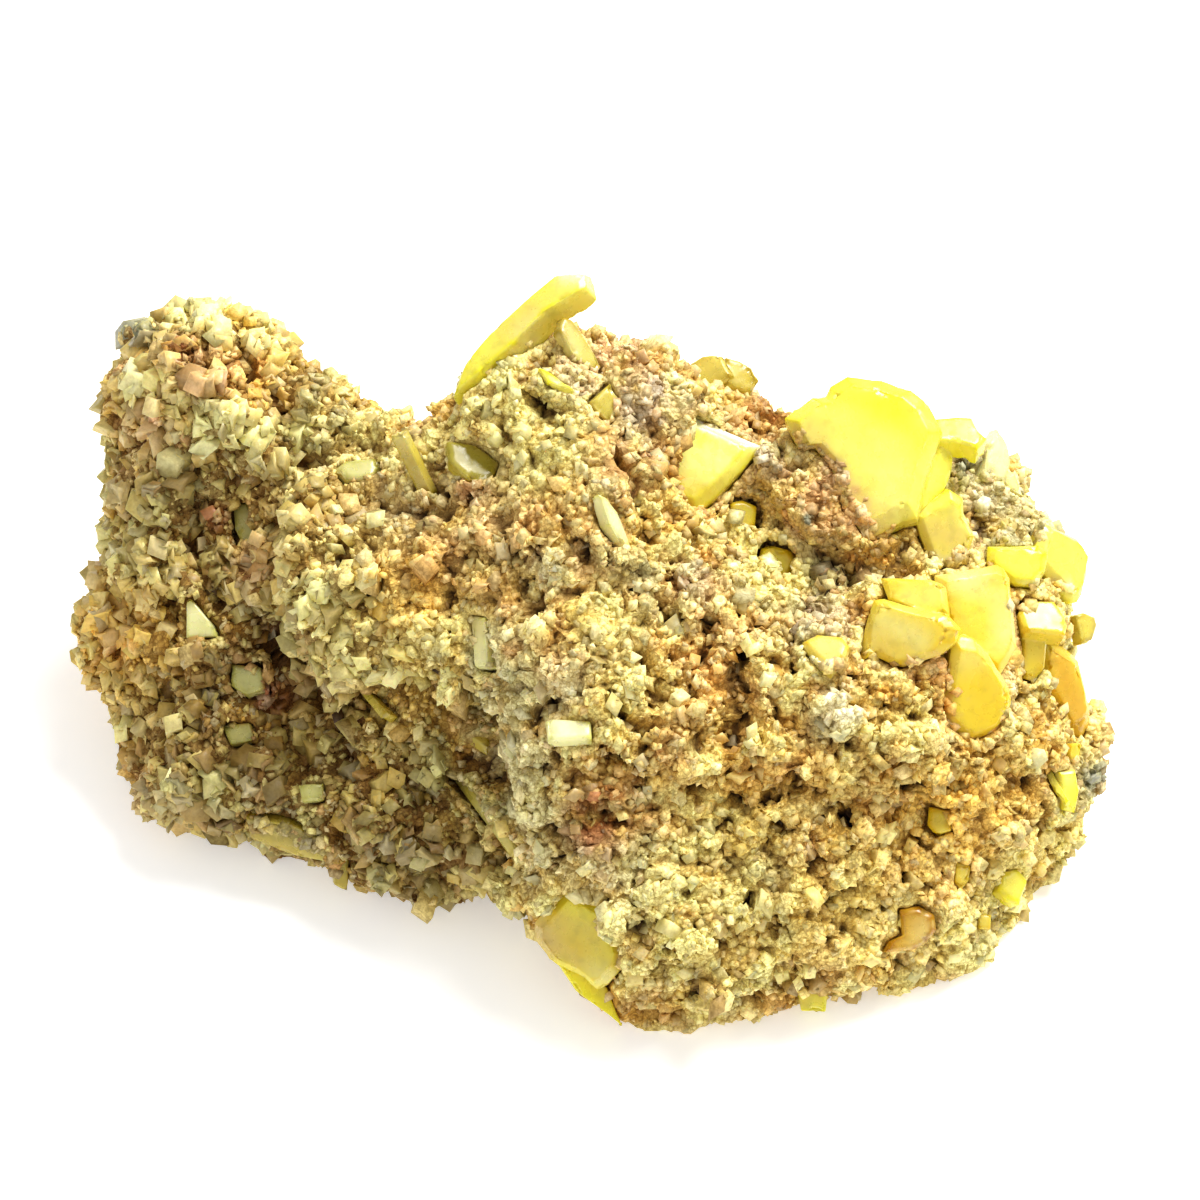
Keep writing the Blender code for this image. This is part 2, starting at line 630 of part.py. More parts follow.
def crystal(tree, name, tablets, finish):
    """Tablets grown into each other, as one solid."""
    first, *others = [tablet_solid(tree, tablet) for tablet in tablets]
    mesh = combined(first, [new_object("tablet", other) for other in others], "UNION")
    return new_object(name, mesh, finish)


def rock(tree, form, finish):
    """The form in even faces the size of a druse crystal, roughened, crusted, cut flat below and socketed."""
    skin = remeshed(new_object("skin", form), ROCK_VOXEL)
    roughen(skin)
    whole = combined(skin, [druse_rhombs(skin)], "UNION")
    sockets = [socket(tree, tablet) for tablets in CRYSTALS.values() for tablet in tablets]
    whole = combined(whole, [table()], "DIFFERENCE")
    whole = combined(whole, sockets, "DIFFERENCE")
    largest_island(whole)
    return new_object("rock", whole, finish)


def main():
    for obj in list(bpy.data.objects):
        bpy.data.objects.remove(obj)
    form = rock_form()
    tree = surface_tree(form)
    wulfenite = material("wulfenite", WULFENITE_COLOUR, 0.15)
    for name, tablets in CRYSTALS.items():
        crystal(tree, name, tablets, wulfenite)
    rock(tree, form, material("crusted rock", ROCK_COLOUR, 0.8))


main()
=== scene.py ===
"""Looks of the wulfenite specimen: a rock skin with pits and swells, the small rhombs that crust it, and
cloudy yellow wulfenite crystals, on a pale floor in soft light.

Lengths are in millimetres until a mesh is made. Places on the show side are given as the collector sees
them: "across" to the right and "up" the view, with "out" towards the eye.
"""

import math

import bmesh
import bpy
import numpy as np
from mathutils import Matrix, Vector


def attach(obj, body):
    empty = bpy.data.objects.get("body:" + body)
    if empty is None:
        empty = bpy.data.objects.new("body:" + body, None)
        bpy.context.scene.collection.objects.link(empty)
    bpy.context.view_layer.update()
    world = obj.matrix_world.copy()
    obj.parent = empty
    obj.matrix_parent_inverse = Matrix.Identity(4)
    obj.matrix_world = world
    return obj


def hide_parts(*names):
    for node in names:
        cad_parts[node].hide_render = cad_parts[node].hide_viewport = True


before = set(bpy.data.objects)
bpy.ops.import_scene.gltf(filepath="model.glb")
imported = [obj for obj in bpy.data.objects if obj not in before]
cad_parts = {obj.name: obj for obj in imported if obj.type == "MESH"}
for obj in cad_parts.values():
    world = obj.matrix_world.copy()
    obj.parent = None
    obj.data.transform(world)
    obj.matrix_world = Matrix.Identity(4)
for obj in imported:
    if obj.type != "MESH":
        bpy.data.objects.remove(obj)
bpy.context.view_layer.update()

MM = 0.001

# The show view, in degrees and millimetres
VIEW_ELEVATION = 50.0
EYE_DISTANCE = 450.0
VIEW_WIDTH = 120.0
VIEW_CENTRE = np.array((-0.5, 3.0, 29.5))
SENSOR_WIDTH = 36.0
SIN_E = math.sin(math.radians(VIEW_ELEVATION))
COS_E = math.cos(math.radians(VIEW_ELEVATION))
TOWARDS_EYE = np.array((0, -COS_E, SIN_E))

# The rock's skin, in millimetres
WELD = 0.001
SKIN_VOXEL = 0.36
SKIN_PIECES = {"rock_skin_left": (-99, -20), "rock_skin_middle": (-20, 14), "rock_skin_right": (14, 99)}
FLOOR_CLEAR = 0.6
SEAT_REACH = 0.9
SEAT_LIP = 0.22
DEEPEST, HIGHEST = -5.0, 1.6

# Swells of the skin: rise, size, salt and octaves of the noise
SWELLS = ((1.2, 6.0, 24, 3), (0.9, 11.0, 27, 1))

# Crystal faces in the skin: size, salt, rise and middle level, tilt, and the groove's depth and width
FACES = ((2.3, 10, 0.5, 0.4, 0.8, 0.5, 0.35), (1.0, 30, 0.35, 0.5, 0.6, 0.4, 0.3))

# Spongy pits: size and salt of the noise, where they start, depth, and their region's middle and radius
PIT_SIZE, PIT_SALT, PIT_START, PIT_DEPTH = 1.7, 20, 0.2, 2.8
SPONGE_MIDDLE, SPONGE_RADIUS = (12.0, -12.0), 26.0

# The line between the body and the lobe: where it crosses, its slope and its softness
LOBE_ACROSS, LOBE_SLOPE, LOBE_SOFTNESS = -20.0, 0.35, 1.5
# How much brown is laid over the lobe: partly its own darker olive-brown, partly painted shade
LOBE_BROWN_SHADE = 0.6

# Grains: how far their sizes spread about the middle one, and the largest over the middle one
GRAIN_SPREAD, LARGEST_GRAIN = 0.3, 1.8

# Grains over the crystals: how many on a square millimetre, size, spread, largest, sunk, pale share, lean
OVERGROWTH_DENSITY = 5.0
OVERGROWTH_SIZE = 0.6
OVERGROWTH_SPREAD, OVERGROWTH_LARGEST = 0.4, 1.6
OVERGROWTH_SUNK, OVERGROWTH_PALE, OVERGROWTH_LEAN = 0.2, 0.15, 0.5

# The crystals' skin, in millimetres
MERGE = 0.02
CRYSTAL_BEVEL = 0.1
CRYSTAL_EDGE = 0.55
HALVINGS = 6
STEP_HEIGHT = 0.05
CHIP_DEPTH = 0.6
RIM_DEPTH = 0.1
CREEP_REACH = 0.5
LENS_SHAPED = ("top_blade",)

# Noises: size in millimetres, and the salt that keeps each apart from the others
LIP_NOISE = (1.2, 28)
STEP_NOISE = (2.6, 70)
CHIP_NOISE = (1.1, 74)
CREEP_NOISE = (1.2, 78)
CLOUD_NOISE = (6.0, 82)
PALE_NOISE = (4.0, 86)
DEEP_NOISE = (5.0, 90)
SPECKLE_NOISE = (1.6, 48)
GREEN_NOISE = (4.2, 56)

# Clear distances of the grains from a crystal and from the floor, in millimetres
RHOMB_DISTANCE = 1.8
DRUSE_DISTANCE = 0.8
SEAM_FROM, SEAM_TO = 0.45, 1.3
FLOOR_DISTANCE = 0.8

# The studio: half the floor's side in metres, and each light's place in metres, size and power
FLOOR_HALF = 3.0
FLOOR_GLOW = 0.3
SKY_STRENGTH = 0.55
LIGHTS = {
    "top softbox": ((0.3, 0.3, 0.62), 0.4, 7.0),
    "front fill": ((-0.4, -0.6, 0.5), 0.6, 0.6),
}

SEED = 7
rng = np.random.default_rng(SEED)


def linear(red, green, blue):
    """A colour as seen on a screen, 0 to 255, turned into light values: the sRGB curve undone."""
    seen = np.array((red, green, blue)) / 255
    return np.where(seen <= 0.04045, seen / 12.92, ((seen + 0.055) / 1.055) ** 2.4)


TAN = linear(222, 196, 110)
OCHRE = linear(206, 160, 66)
# The two browns below are laid in as painted shade: in the hollows, under the overhang and, with the lobe's
# own brown, on the lobe; the deep one also stands for the cavity's stain
BROWN_SHADE = linear(122, 84, 32)
DEEP_BROWN_SHADE = linear(44, 28, 8)
CREAM = linear(244, 237, 164)
WHITE_DUST = linear(240, 234, 200)
PINKISH = linear(214, 172, 128)
QUARTZ = linear(214, 200, 170)
# A dark olive used as painted shade, with the rock's olive tone in it
DARK_OLIVE_SHADE = linear(116, 95, 38)
GREY_GREEN = linear(180, 175, 134)
POWDER = linear(222, 214, 166)
RUST = linear(152, 78, 8)
ORANGE = linear(222, 156, 48)
RED = linear(150, 54, 34)
SLATE = linear(118, 120, 100)
HONEY = linear(238, 200, 102)
LILAC = linear(184, 170, 150)

# How colours mix into the crust: colour, base share, the noise's share, size and salt, the hollow's share
# (cream held back in the hollows as painted shade)
CRUST_MIX = (
    (OCHRE, 0.35, 0.9, 7.0, 40, 0.0),
    (CREAM, 0.25, 1.0, 3.4, 44, -0.7),
    (PINKISH, -0.1, 0.7, 5.0, 52, 0.0),
)

# Patches of colour on the show side, some of them painted shade: across, up, reach, colour, strength
PATCHES = (
    (-36, -4, 15.0, OCHRE, 0.6),
    # Dark olive over the left lobe and the hollow under the overhang: partly the rock's olive tone, partly
    # painted shade
    (-40, -6, 10.0, DARK_OLIVE_SHADE, 0.75),
    (-34, -19, 9.0, DARK_OLIVE_SHADE, 0.75),
    (-20, -22, 9.0, DARK_OLIVE_SHADE, 0.8),
    (-41, 10, 8.0, DARK_OLIVE_SHADE, 0.55),
    # Painted shadow in the crevice under the plateau's overhanging edge
    (-32, -5, 3.5, DEEP_BROWN_SHADE, 0.4),
    (-19, 4, 3.5, RUST, 0.5),
    (-5, 8, 3.0, ORANGE, 0.5),
    (2.5, 12.5, 4.0, RUST, 0.6),
    (0.5, -22, 4.5, RUST, 0.8),
    (-0.7, -23.2, 2.0, RUST, 1.6),
    (7, -14, 3.0, RUST, 0.4),
    (28, -20, 4.0, RUST, 0.6),
    (10, -7, 5.5, ORANGE, 0.4),
    (23, -37.5, 2.0, RUST, 0.7),
    (-35, 23, 3.0, ORANGE, 0.5),
    (-32.5, -9.5, 1.8, RED, 1.2),
    (-34.7, 2.6, 1.2, RED, 1.2),
    (-42.0, 25.0, 1.2, RED, 0.9),
    (-38.5, 8.5, 1.4, RED, 0.5),
    (-13.5, 11, 1.4, RED, 0.7),
    (16.5, 20, 1.4, RED, 0.6),
    (2.8, 25, 1.4, RED, 0.5),
    (-47.5, -4, 5.5, HONEY, 1.1),
    (-48.5, -4, 2.6, ORANGE, 0.6),
    (-44.5, 17.5, 2.6, PINKISH, 0.7),
    (-39, 23, 2.6, PINKISH, 0.7),
    (-34.5, 4, 2.0, PINKISH, 0.9),
    (0, 24.5, 5.0, PINKISH, 0.6),
    (-12, 9, 6.0, PINKISH, 0.45),
    (16.5, 18.5, 3.0, RUST, 0.4),
    (22, 10, 5.0, PINKISH, 0.6),
    (22, -2.5, 3.4, QUARTZ, 0.7),
    (24, -11, 2.2, WHITE_DUST, 1.1),
    (5, 19.5, 3.5, LILAC, 0.9),
    (-2, 21, 2.5, LILAC, 0.6),
    (-20, 7, 4.5, LILAC, 0.6),
    (9, 2, 2.6, LILAC, 0.5),
    (16, 14, 2.4, LILAC, 0.5),
    (2, -28, 3.5, WHITE_DUST, 0.6),
    (-3.5, -9, 3.0, WHITE_DUST, 0.5),
    (-5, 3, 2.2, WHITE_DUST, 0.5),
    (41, 7, 4.0, GREY_GREEN, 0.8),
    (37.5, 13, 2.6, GREY_GREEN, 0.7),
    (49, -18.5, 2.0, GREY_GREEN, 0.8),
    (-10.5, -5, 2.8, POWDER, 1.0),
    (-9, -10, 3.0, POWDER, 1.2),
    (-8, -15, 3.0, POWDER, 1.2),
    (-6.8, -20.5, 3.0, POWDER, 1.2),
    (-5, -26.5, 2.8, POWDER, 0.9),
    (-9.6, -21, 0.8, SLATE, 0.7),
    (-8.6, -7.5, 0.9, SLATE, 0.7),
    (39, 9.5, 2.2, WHITE_DUST, 0.8),
    (36.5, 14, 1.4, SLATE, 0.8),
    # Painted shade: a dark olive rim along the notch of the outline
    (-28.5, 22, 2.2, DARK_OLIVE_SHADE, 0.7),
    (-25, 18, 1.8, DARK_OLIVE_SHADE, 0.6),
    (-46, 27, 1.6, SLATE, 0.8),
    (49.5, -17.5, 1.4, SLATE, 0.7),
    (20.8, 8.2, 0.6, SLATE, 1.2),
    (4.4, -32.6, 0.7, SLATE, 1.2),
    (-12.5, -6, 1.4, SLATE, 0.6),
    (-29, 16, 4.0, GREY_GREEN, 0.5),
    (35, -22, 7.0, HONEY, 0.9),
    (24, -31, 7.0, HONEY, 0.6),
    (16, -17, 6.0, HONEY, 0.4),
    (-24.5, -0.5, 8.0, CREAM, 0.9),
    (-18, 3, 3.0, ORANGE, 0.6),
    (-20.5, 1, 4.5, HONEY, 0.8),
    # The cavity beside the centre block: deep brown that is partly its stain and partly painted shade, with a
    # red stain
    (22.3, 3.4, 1.9, DEEP_BROWN_SHADE, 0.75),
    (29.5, 4.2, 1.7, DEEP_BROWN_SHADE, 0.6),
    (26, 3.6, 1.5, RED, 0.4),
    (38, -32, 6.0, CREAM, 0.5),
    (8, -30, 7.0, CREAM, 0.6),
    (-6, 15, 6.0, CREAM, 0.6),
    (2, -6, 6.0, CREAM, 0.4),
    (26, -32, 6.0, CREAM, 0.4),
)

# Crevices and ridges on the show side: height, half width, and the path as across, up
RELIEF = (
    (
        -3.4, 2.0,
        ((-35, 6), (-33, -3), (-31, -10), (-24, -10), (-17, -9), (-12.5, -13), (-11, -20), (-10, -27)),
    ),
    (-2.2, 1.3, ((15, 9.5), (19, 6.5), (24, 4), (31, 2.8))),
    (-3.5, 1.6, ((12.5, 9), (15, 6), (17, 4.5), (21, 2.5), (25, 3.5))),
    (-1.6, 1.0, ((41.5, 1), (42.3, -3), (42.5, -9))),
    (-2.2, 1.5, ((31, -18), (32, -22), (33.5, -26))),
    (-2.0, 1.4, ((-29, 13.5), (-24, 10), (-17, 9), (-12, 11))),
    (-1.6, 1.0, ((-43, 0), (-42, -6), (-43, -10))),
    (-2.2, 1.2, ((13.5, -7), (14.5, -11), (13, -14))),
    (-1.8, 0.9, ((-12, -4), (-10.5, -7), (-8, -9))),
    (-1.8, 0.8, ((1.5, 14), (4, 10), (5, 6.5))),
    (-2.0, 0.9, ((4, -5.5), (5.5, -7.5), (6, -10))),
    (-2.2, 0.9, ((-2.5, 5.5), (-1, 4))),
    (-1.8, 1.0, ((17, -20), (20, -19), (25, -21))),
    (-1.8, 1.2, ((-40, 9), (-41, 4), (-38, 0))),
    (-1.5, 1.0, ((22, -31), (26, -29), (29, -30))),
    (-1.8, 0.9, ((3.5, -33), (4.5, -32))),
    (-2.0, 1.2, ((-36, 27), (-34, 22), (-31, 18))),
    (-1.6, 1.0, ((-8, 22), (-5, 19), (0, 22))),
    (1.3, 1.1, ((17, 14.5), (18.5, 11), (21, 7), (25, 2.8), (27, 1))),
    (1.2, 1.0, ((20, 15), (23, 12), (26, 8))),
    (1.2, 1.2, ((20, -2), (22, -4), (24, -2))),
    (1.2, 1.6, ((33, -14), (37, -17), (39, -22))),
    (0.9, 1.3, ((-9.7, -4), (-8.3, -12), (-7.1, -18.4), (-6, -24.5), (-4.4, -28.6))),
)

# Zones of colour on the crystals, with painted highlight and shade on some: half width, strength, colour, and
# the path as across, up
ZONES_AND_PAINTED_LIGHT = (
    # Painted highlight: a white reflection along the centre block's top bevel
    (0.75, 1.1, linear(252, 252, 244), ((8.9, 18.5), (12.5, 17.2), (16.0, 15.8))),
    (1.6, 0.6, linear(206, 186, 60), ((8.5, 10), (12, 11.5))),
    (1.6, 0.5, linear(246, 242, 130), ((7.5, 14.5), (12, 14.5))),
    (2.6, 0.4, linear(248, 240, 140), ((25, 15), (29, 13), (29, 10))),
    (2.2, 0.7, linear(244, 232, 24), ((24, 20.5), (29, 19.5), (32, 16))),
    (1.8, 0.7, linear(222, 198, 104), ((21.5, 16), (24.5, 11), (28, 8))),
    (2.0, 0.8, linear(226, 202, 110), ((33.5, 7), (35.5, 6))),
    (2.4, 0.6, linear(242, 206, 16), ((37.5, -8), (39.5, -12))),
    (1.2, 0.7, linear(236, 224, 130), ((28.5, -2), (32, -4))),
    (1.5, 0.8, linear(218, 168, 50), ((46, -6), (48.3, -12.5))),
    (1.3, 0.6, linear(206, 176, 112), ((-6.2, -33), (-3.4, -36.6))),
    (1.6, 0.6, linear(222, 206, 84), ((-1.5, -32.5), (1.2, -36))),
    # Partly painted shade: the olive leaves darkened to a dull olive
    (1.9, 0.9, linear(178, 166, 58), ((-15, 14.6), (-11, 13))),
    (1.2, 0.9, linear(244, 232, 40), ((-4, -37), (2, -42.5))),
    (1.2, 0.7, linear(244, 236, 60), ((-4, -30), (0.5, -31.5), (2, -35))),
    (1.0, 0.8, linear(250, 244, 190), ((-3.5, 32.5), (-1.8, 32.6))),
)

# Crust over the crystals on the show side: half width, and the path as across, up
OVERGROWTH = (
    (2.2, ((18.5, 15.5), (22, 13.5), (25, 9), (27, 6), (31, 4.6), (32.2, 3.6))),
    (1.0, ((26, -6.5), (30, -7.2), (33.5, -6), (35, -9), (34.5, -13))),
    (1.0, ((5.6, 14.5), (7.2, 11.5), (8.5, 9))),
    (1.0, ((39, 12.5), (41, 8.5), (44, 7))),
    (1.2, ((42, -0.5), (44, 1.5), (46.5, 1))),
    (0.9, ((0.5, -30), (2, -34), (2.4, -37))),
    (0.9, ((37, 3.5), (36, 4.5), (34, 3.5))),
    (0.7, ((19.5, -5.5), (22, -6.5), (24.5, -6.5))),
    (1.2, ((-35, -22.4), (-30.5, -23.4), (-26.5, -25.6))),
    (0.6, ((-37.4, -6.4), (-33.6, -6.5), (-33.4, -8.8))),
    (0.5, ((-38, -12.3), (-34.8, -12.2), (-34.4, -14))),
)

# Crusts: name, where they stand, count, size, form, finish, share sunk, share of pale grains, lean
CRUSTS = (
    ("lobe_rhombs", "open lobe", 2100, 1.2, "saddled", "glassy rhombs", 0.2, 0.1, 0.7),
    ("body_rhombs", "open body", 1100, 0.85, "saddled", "glassy rhombs", 0.2, 0.1, 0.7),
    ("front_druse", "front", 7000, 0.55, "plain", "sugary druse", 0.2, 0.1, 0.5),
    ("fine_druse", "front", 8000, 0.36, "plain", "sugary druse", 0.2, 0.1, 0.5),
    ("back_druse", "back", 5000, 1.0, "plain", "sugary druse", 0.3, 0.1, 0.5),
    ("seam_crust", "seams", 4500, 0.48, "plain", "sugary druse", 0.2, 0.15, 0.5),
)
SADDLE_DEPTH = 0.11

# Patterns of the finishes: cells to the metre
SPOTS_TO_METRE = 2200
SUGAR_TO_METRE = 1900
FLECKS_TO_METRE = 900
STEPS_TO_METRE = 700
WULFENITE_IOR = 1.6

# Crust finishes: roughness, how strongly the sugary joints show, and how much light glows inside
CRUST_FINISHES = {
    "rock crust": (0.7, 0.8, 0.0),
    "glassy rhombs": (0.35, 0.15, 0.25),
    "sugary druse": (0.5, 0.4, 0.0),
}

# Wulfenite finishes: how much light passes clear through, and how much is scattered inside
WULFENITE_FINISHES = {"cloudy wulfenite": (0.12, 0.35), "clearer wulfenite": (0.25, 0.3)}

# Wulfenite looks: finish, the faces' colour, and the colour of rims and deeper parts
WULFENITE_LOOKS = {
    "lemon": ("cloudy wulfenite", linear(238, 228, 90), linear(236, 226, 20)),
    "golden": ("cloudy wulfenite", linear(232, 212, 72), linear(224, 188, 16)),
    "amber": ("clearer wulfenite", linear(226, 182, 44), linear(184, 132, 14)),
    "olive": ("clearer wulfenite", linear(214, 198, 86), linear(180, 156, 34)),
    "pale": ("cloudy wulfenite", linear(238, 234, 176), linear(214, 210, 120)),
    "greenish": ("clearer wulfenite", linear(216, 212, 138), linear(190, 184, 92)),
}
PALE_FACE = WULFENITE_LOOKS["pale"][1]

# The look of each wulfenite solid
CRYSTALS = {
    "top_blade": "lemon",
    "great_tablet": "lemon",
    "centre_block": "lemon",
    "right_cluster": "golden",
    "right_rim_tablet": "lemon",
    "rim_cluster": "golden",
    "bottom_tablet": "golden",
    "low_orange": "amber",
    "edge_plate": "golden",
    "cave_tablet": "golden",
    "low_oval": "golden",
    "low_rim": "lemon",
    "low_chip": "golden",
    "bottom_chip": "lemon",
    "olive_plate": "olive",
    "small_plate": "lemon",
    "crest_plate": "olive",
    "upper_rim_pair": "pale",
    "rim_chip": "olive",
    "rim_spur": "golden",
    "rim_blades": "lemon",
    "cavity_octagon": "golden",
    "cavity_plate": "golden",
    "back_pair": "olive",
    "shelf_plate": "greenish",
    "shelf_blade": "olive",
    "olive_leaves": "olive",
    "white_triangle": "pale",
    "green_wedge": "greenish",
    "green_cube_upper": "greenish",
    "green_cube_middle": "greenish",
    "green_cube_lower": "greenish",
    "lobe_blade": "olive",
    "plateau_needle": "olive",
    "plateau_plate": "olive",
    "striated_plate": "pale",
    "ridge_plate": "pale",
    "ridge_blade": "pale",
    "lobe_foot_plates": "olive",
}


def seen_place(points):
    """Where the eye sees points given in millimetres: the offset from the view's centre, read along the
    view's axes, and widened by distance / (distance - out) as things nearer the eye are."""
    offset = points - VIEW_CENTRE
    out = -offset[:, 1] * COS_E + offset[:, 2] * SIN_E
    widened = EYE_DISTANCE / (EYE_DISTANCE - out)
    across = offset[:, 0] * widened
    up = (offset[:, 1] * SIN_E + offset[:, 2] * COS_E) * widened
    return across, up


def scrambled(cells, salt):
    """A number from 0 to 1 for each whole-number cell: its coordinates times large primes, mixed by
    exclusive-or."""
    x, y, z = (cells[..., i].astype(np.int64).astype(np.uint64) for i in range(3))
    bits = x * np.uint64(73856093) ^ y * np.uint64(19349663) ^ z * np.uint64(83492791)
    bits ^= np.uint64(salt) * np.uint64(2654435761)
    bits = (bits ^ (bits >> np.uint64(15))) * np.uint64(2246822519)
    bits = (bits ^ (bits >> np.uint64(13))) * np.uint64(3266489917)
    bits ^= bits >> np.uint64(16)
    return (bits & np.uint64(0xFFFFFF)).astype(np.float64) / 0xFFFFFF


def soft_noise(points, size, salt):
    """Value noise from -1 to 1: random numbers on a lattice of that size, blended between its corners by
    3t^2 - 2t^3 along each axis."""
    place = points / size
    cell = np.floor(place)
    part = place - cell
    part = part * part * (3 - 2 * part)
    total = np.zeros(len(points))
    for corner in np.ndindex(2, 2, 2):
        weight = np.prod(np.where(corner, part, 1 - part), axis=1)
        total += weight * scrambled(cell + corner, salt)
    return total * 2 - 1


def rough_noise(points, size, salt, octaves=3):
    """Soft noise at a size, half of it at half the size, and so on."""
    return sum(soft_noise(points, size / 2 ** i, salt + i) / 2 ** i for i in range(octaves))


def grain_cells(points, size, salt):
    """Cells round scattered seeds: each lattice cell of that size holds one seed. Gives how much further the
    next seed is than the nearest, over the size, the nearest cell's own random number, and the height of its
    face: the offset from its seed times a random slope of its own."""
    place = points / size
    home = np.floor(place)
    nearest = np.full(len(points), 9.0)
    second = np.full(len(points), 9.0)
    number = np.zeros(len(points))
    face = np.zeros(len(points))
    for step in np.ndindex(3, 3, 3):
        cell = home + np.array(step) - 1
        offset = place - cell - np.stack([scrambled(cell, salt + i) for i in range(3)], axis=1)
        away = np.linalg.norm(offset, axis=1)
        closer = away < nearest
        slope = np.stack([scrambled(cell, salt + 4 + i) * 2 - 1 for i in range(3)], axis=1)
        second = np.where(closer, nearest, np.minimum(second, away))
        number = np.where(closer, scrambled(cell, salt + 3), number)
        face = np.where(closer, np.einsum("ij,ij->i", offset, slope), face)
        nearest = np.minimum(nearest, away)
    return second - nearest, number, face


def near(points, others, reach):
    """True for each point that has one of the others about within reach: space is cut into cells a third of
    the reach wide, the others' cells are grown by three all round, and a point is near if its cell is one of
    them."""
    cell = reach / 3
    inside = np.all((others > points.min(axis=0) - reach) & (others < points.max(axis=0) + reach), axis=1)
    steps = np.array(list(np.ndindex(7, 7, 7))) - 3
    ball = steps[np.linalg.norm(steps, axis=1) <= 3]
    span = np.array((1 << 40, 1 << 20, 1))
    taken = np.unique((np.floor(others[inside] / cell).astype(np.int64) + 4096) @ span)
    grown = np.unique(taken[:, None] + (ball @ span)[None])
    return np.isin((np.floor(points / cell).astype(np.int64) + 4096) @ span, grown)


def beside_path(across, up, path):
    """The distance in the view from each place to the nearest point of a path: to each stretch from a to b
    it is the length of p - a - t(b - a), with t the share of the way along, kept from 0 to 1."""
    places = np.stack((across, up), axis=1)
    nearest = np.full(len(places), np.inf)
    for a, b in zip(np.array(path[:-1]), np.array(path[1:])):
        share = np.clip((places - a) @ (b - a) / np.sum((b - a) ** 2), 0, 1)
        nearest = np.minimum(nearest, np.linalg.norm(places - a - share[:, None] * (b - a), axis=1))
    return nearest


def beside_share(across, up, path, half_width):
    """From 1 on the path down to 0 away from it: exp(-(distance / half width)^2)."""
    return np.exp(-(beside_path(across, up, path) / half_width) ** 2)


def facing_share(normals):
    """From 0 to 1 as a face turns from away to towards the eye: three times the cosine between its normal and
    the eye's direction, plus a half."""
    return np.clip(normals @ TOWARDS_EYE * 3 + 0.5, 0, 1)


def unit(vectors):
    """Each vector over its own length."""
    return vectors / np.maximum(np.linalg.norm(vectors, axis=-1, keepdims=True), 1e-9)


def read_points(mesh):
    """The vertices in millimetres."""
    points = np.empty(len(mesh.vertices) * 3, np.float32)
    mesh.vertices.foreach_get("co", points)
    return points.reshape(-1, 3).astype(np.float64) / MM


def read_normals(mesh):
    """The vertices' normals."""
    normals = np.empty(len(mesh.vertices) * 3, np.float32)
    mesh.vertex_normals.foreach_get("vector", normals)
    return normals.reshape(-1, 3).astype(np.float64)


def read_edges(mesh):
    """Each edge's two vertex numbers."""
    edges = np.empty(len(mesh.edges) * 2, np.int32)
    mesh.edges.foreach_get("vertices", edges)
    return edges.reshape(-1, 2)


def read_triangles(mesh):
    """Each triangle's three vertex numbers."""
    mesh.calc_loop_triangles()
    triangles = np.empty(len(mesh.loop_triangles) * 3, np.int32)
    mesh.loop_triangles.foreach_get("vertices", triangles)
    return triangles.reshape(-1, 3)


def write_points(mesh, points):
    """Moves the vertices to points given in millimetres."""
    mesh.vertices.foreach_set("co", (points * MM).astype(np.float32).ravel())
    mesh.update()


def write_tint(mesh, colours):
    """Keeps a colour for each vertex, as the attribute that the finishes read."""
    attribute = mesh.attributes.new("tint", "FLOAT_COLOR", "POINT")
    full = np.ones((len(colours), 4), np.float32)
    full[:, :3] = colours
    attribute.data.foreach_set("color", full.ravel())


def fine_copy(node, voxel):
    """One even fine skin over a copy of a CAD node: its doubles merged, then remeshed at the voxel size."""
    bm = bmesh.new()
    bm.from_mesh(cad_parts[node].data)
    bmesh.ops.remove_doubles(bm, verts=bm.verts, dist=WELD * MM)
    coarse = bpy.data.meshes.new("coarse")
    bm.to_mesh(coarse)
    bm.free()
    carrier = bpy.data.objects.new("carrier", coarse)
    bpy.context.scene.collection.objects.link(carrier)
    remesh = carrier.modifiers.new("fine skin", "REMESH")
    remesh.mode = "VOXEL"
    remesh.voxel_size = voxel * MM
    graph = bpy.context.evaluated_depsgraph_get()
    fine = bpy.data.meshes.new_from_object(carrier.evaluated_get(graph))
    bpy.data.objects.remove(carrier)
    return fine


def neighbours_mean(values, edges):
    """The mean of each vertex's neighbours: sums over the edges' two ends, divided by how many there are."""
    count = np.bincount(edges.ravel(), minlength=len(values))
    total = np.stack([
        np.bincount(edges[:, 0], values[edges[:, 1], i], len(values))
        + np.bincount(edges[:, 1], values[edges[:, 0], i], len(values))
        for i in range(values.shape[1])
    ], axis=1)
    return total / np.maximum(count, 1)[:, None]


def smoothed(values, edges, rounds):
    """The values drawn halfway to their neighbours' mean, over and over."""
    for _ in range(rounds):
        values = 0.5 * values + 0.5 * neighbours_mean(values, edges)
    return values


def hollowness(points, normals, edges, rounds):
    """How far each vertex lies below the smoothed skin round it, in millimetres: more than 0 in a pit."""
    return np.einsum("ij,ij->i", smoothed(points, edges, rounds) - points, normals)


def finished_piece(name, mesh, finish):
    """The mesh as an object of the specimen, with its finish."""
    piece = bpy.data.objects.new(name, mesh)
    bpy.context.scene.collection.objects.link(piece)
    mesh.materials.clear()
    mesh.materials.append(finish)
    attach(piece, "root")
    return piece


def mesh_of(name, points, faces):
    """A mesh from whole arrays: points in millimetres, and faces that all have the same number of
    corners."""
    mesh = bpy.data.meshes.new(name)
    mesh.vertices.add(len(points))
    mesh.loops.add(faces.size)
    mesh.loops.foreach_set("vertex_index", faces.astype(np.int32).ravel())
    mesh.polygons.add(len(faces))
    mesh.polygons.foreach_set("loop_start", np.arange(0, faces.size, faces.shape[1], dtype=np.int32))
    write_points(mesh, points)
    mesh.update(calc_edges=True)
    return mesh


def mixed(first, second, share):
    """first + (second - first) times the share, with one share for each row."""
    return first + (second - first) * np.clip(share, 0, 1)[:, None]


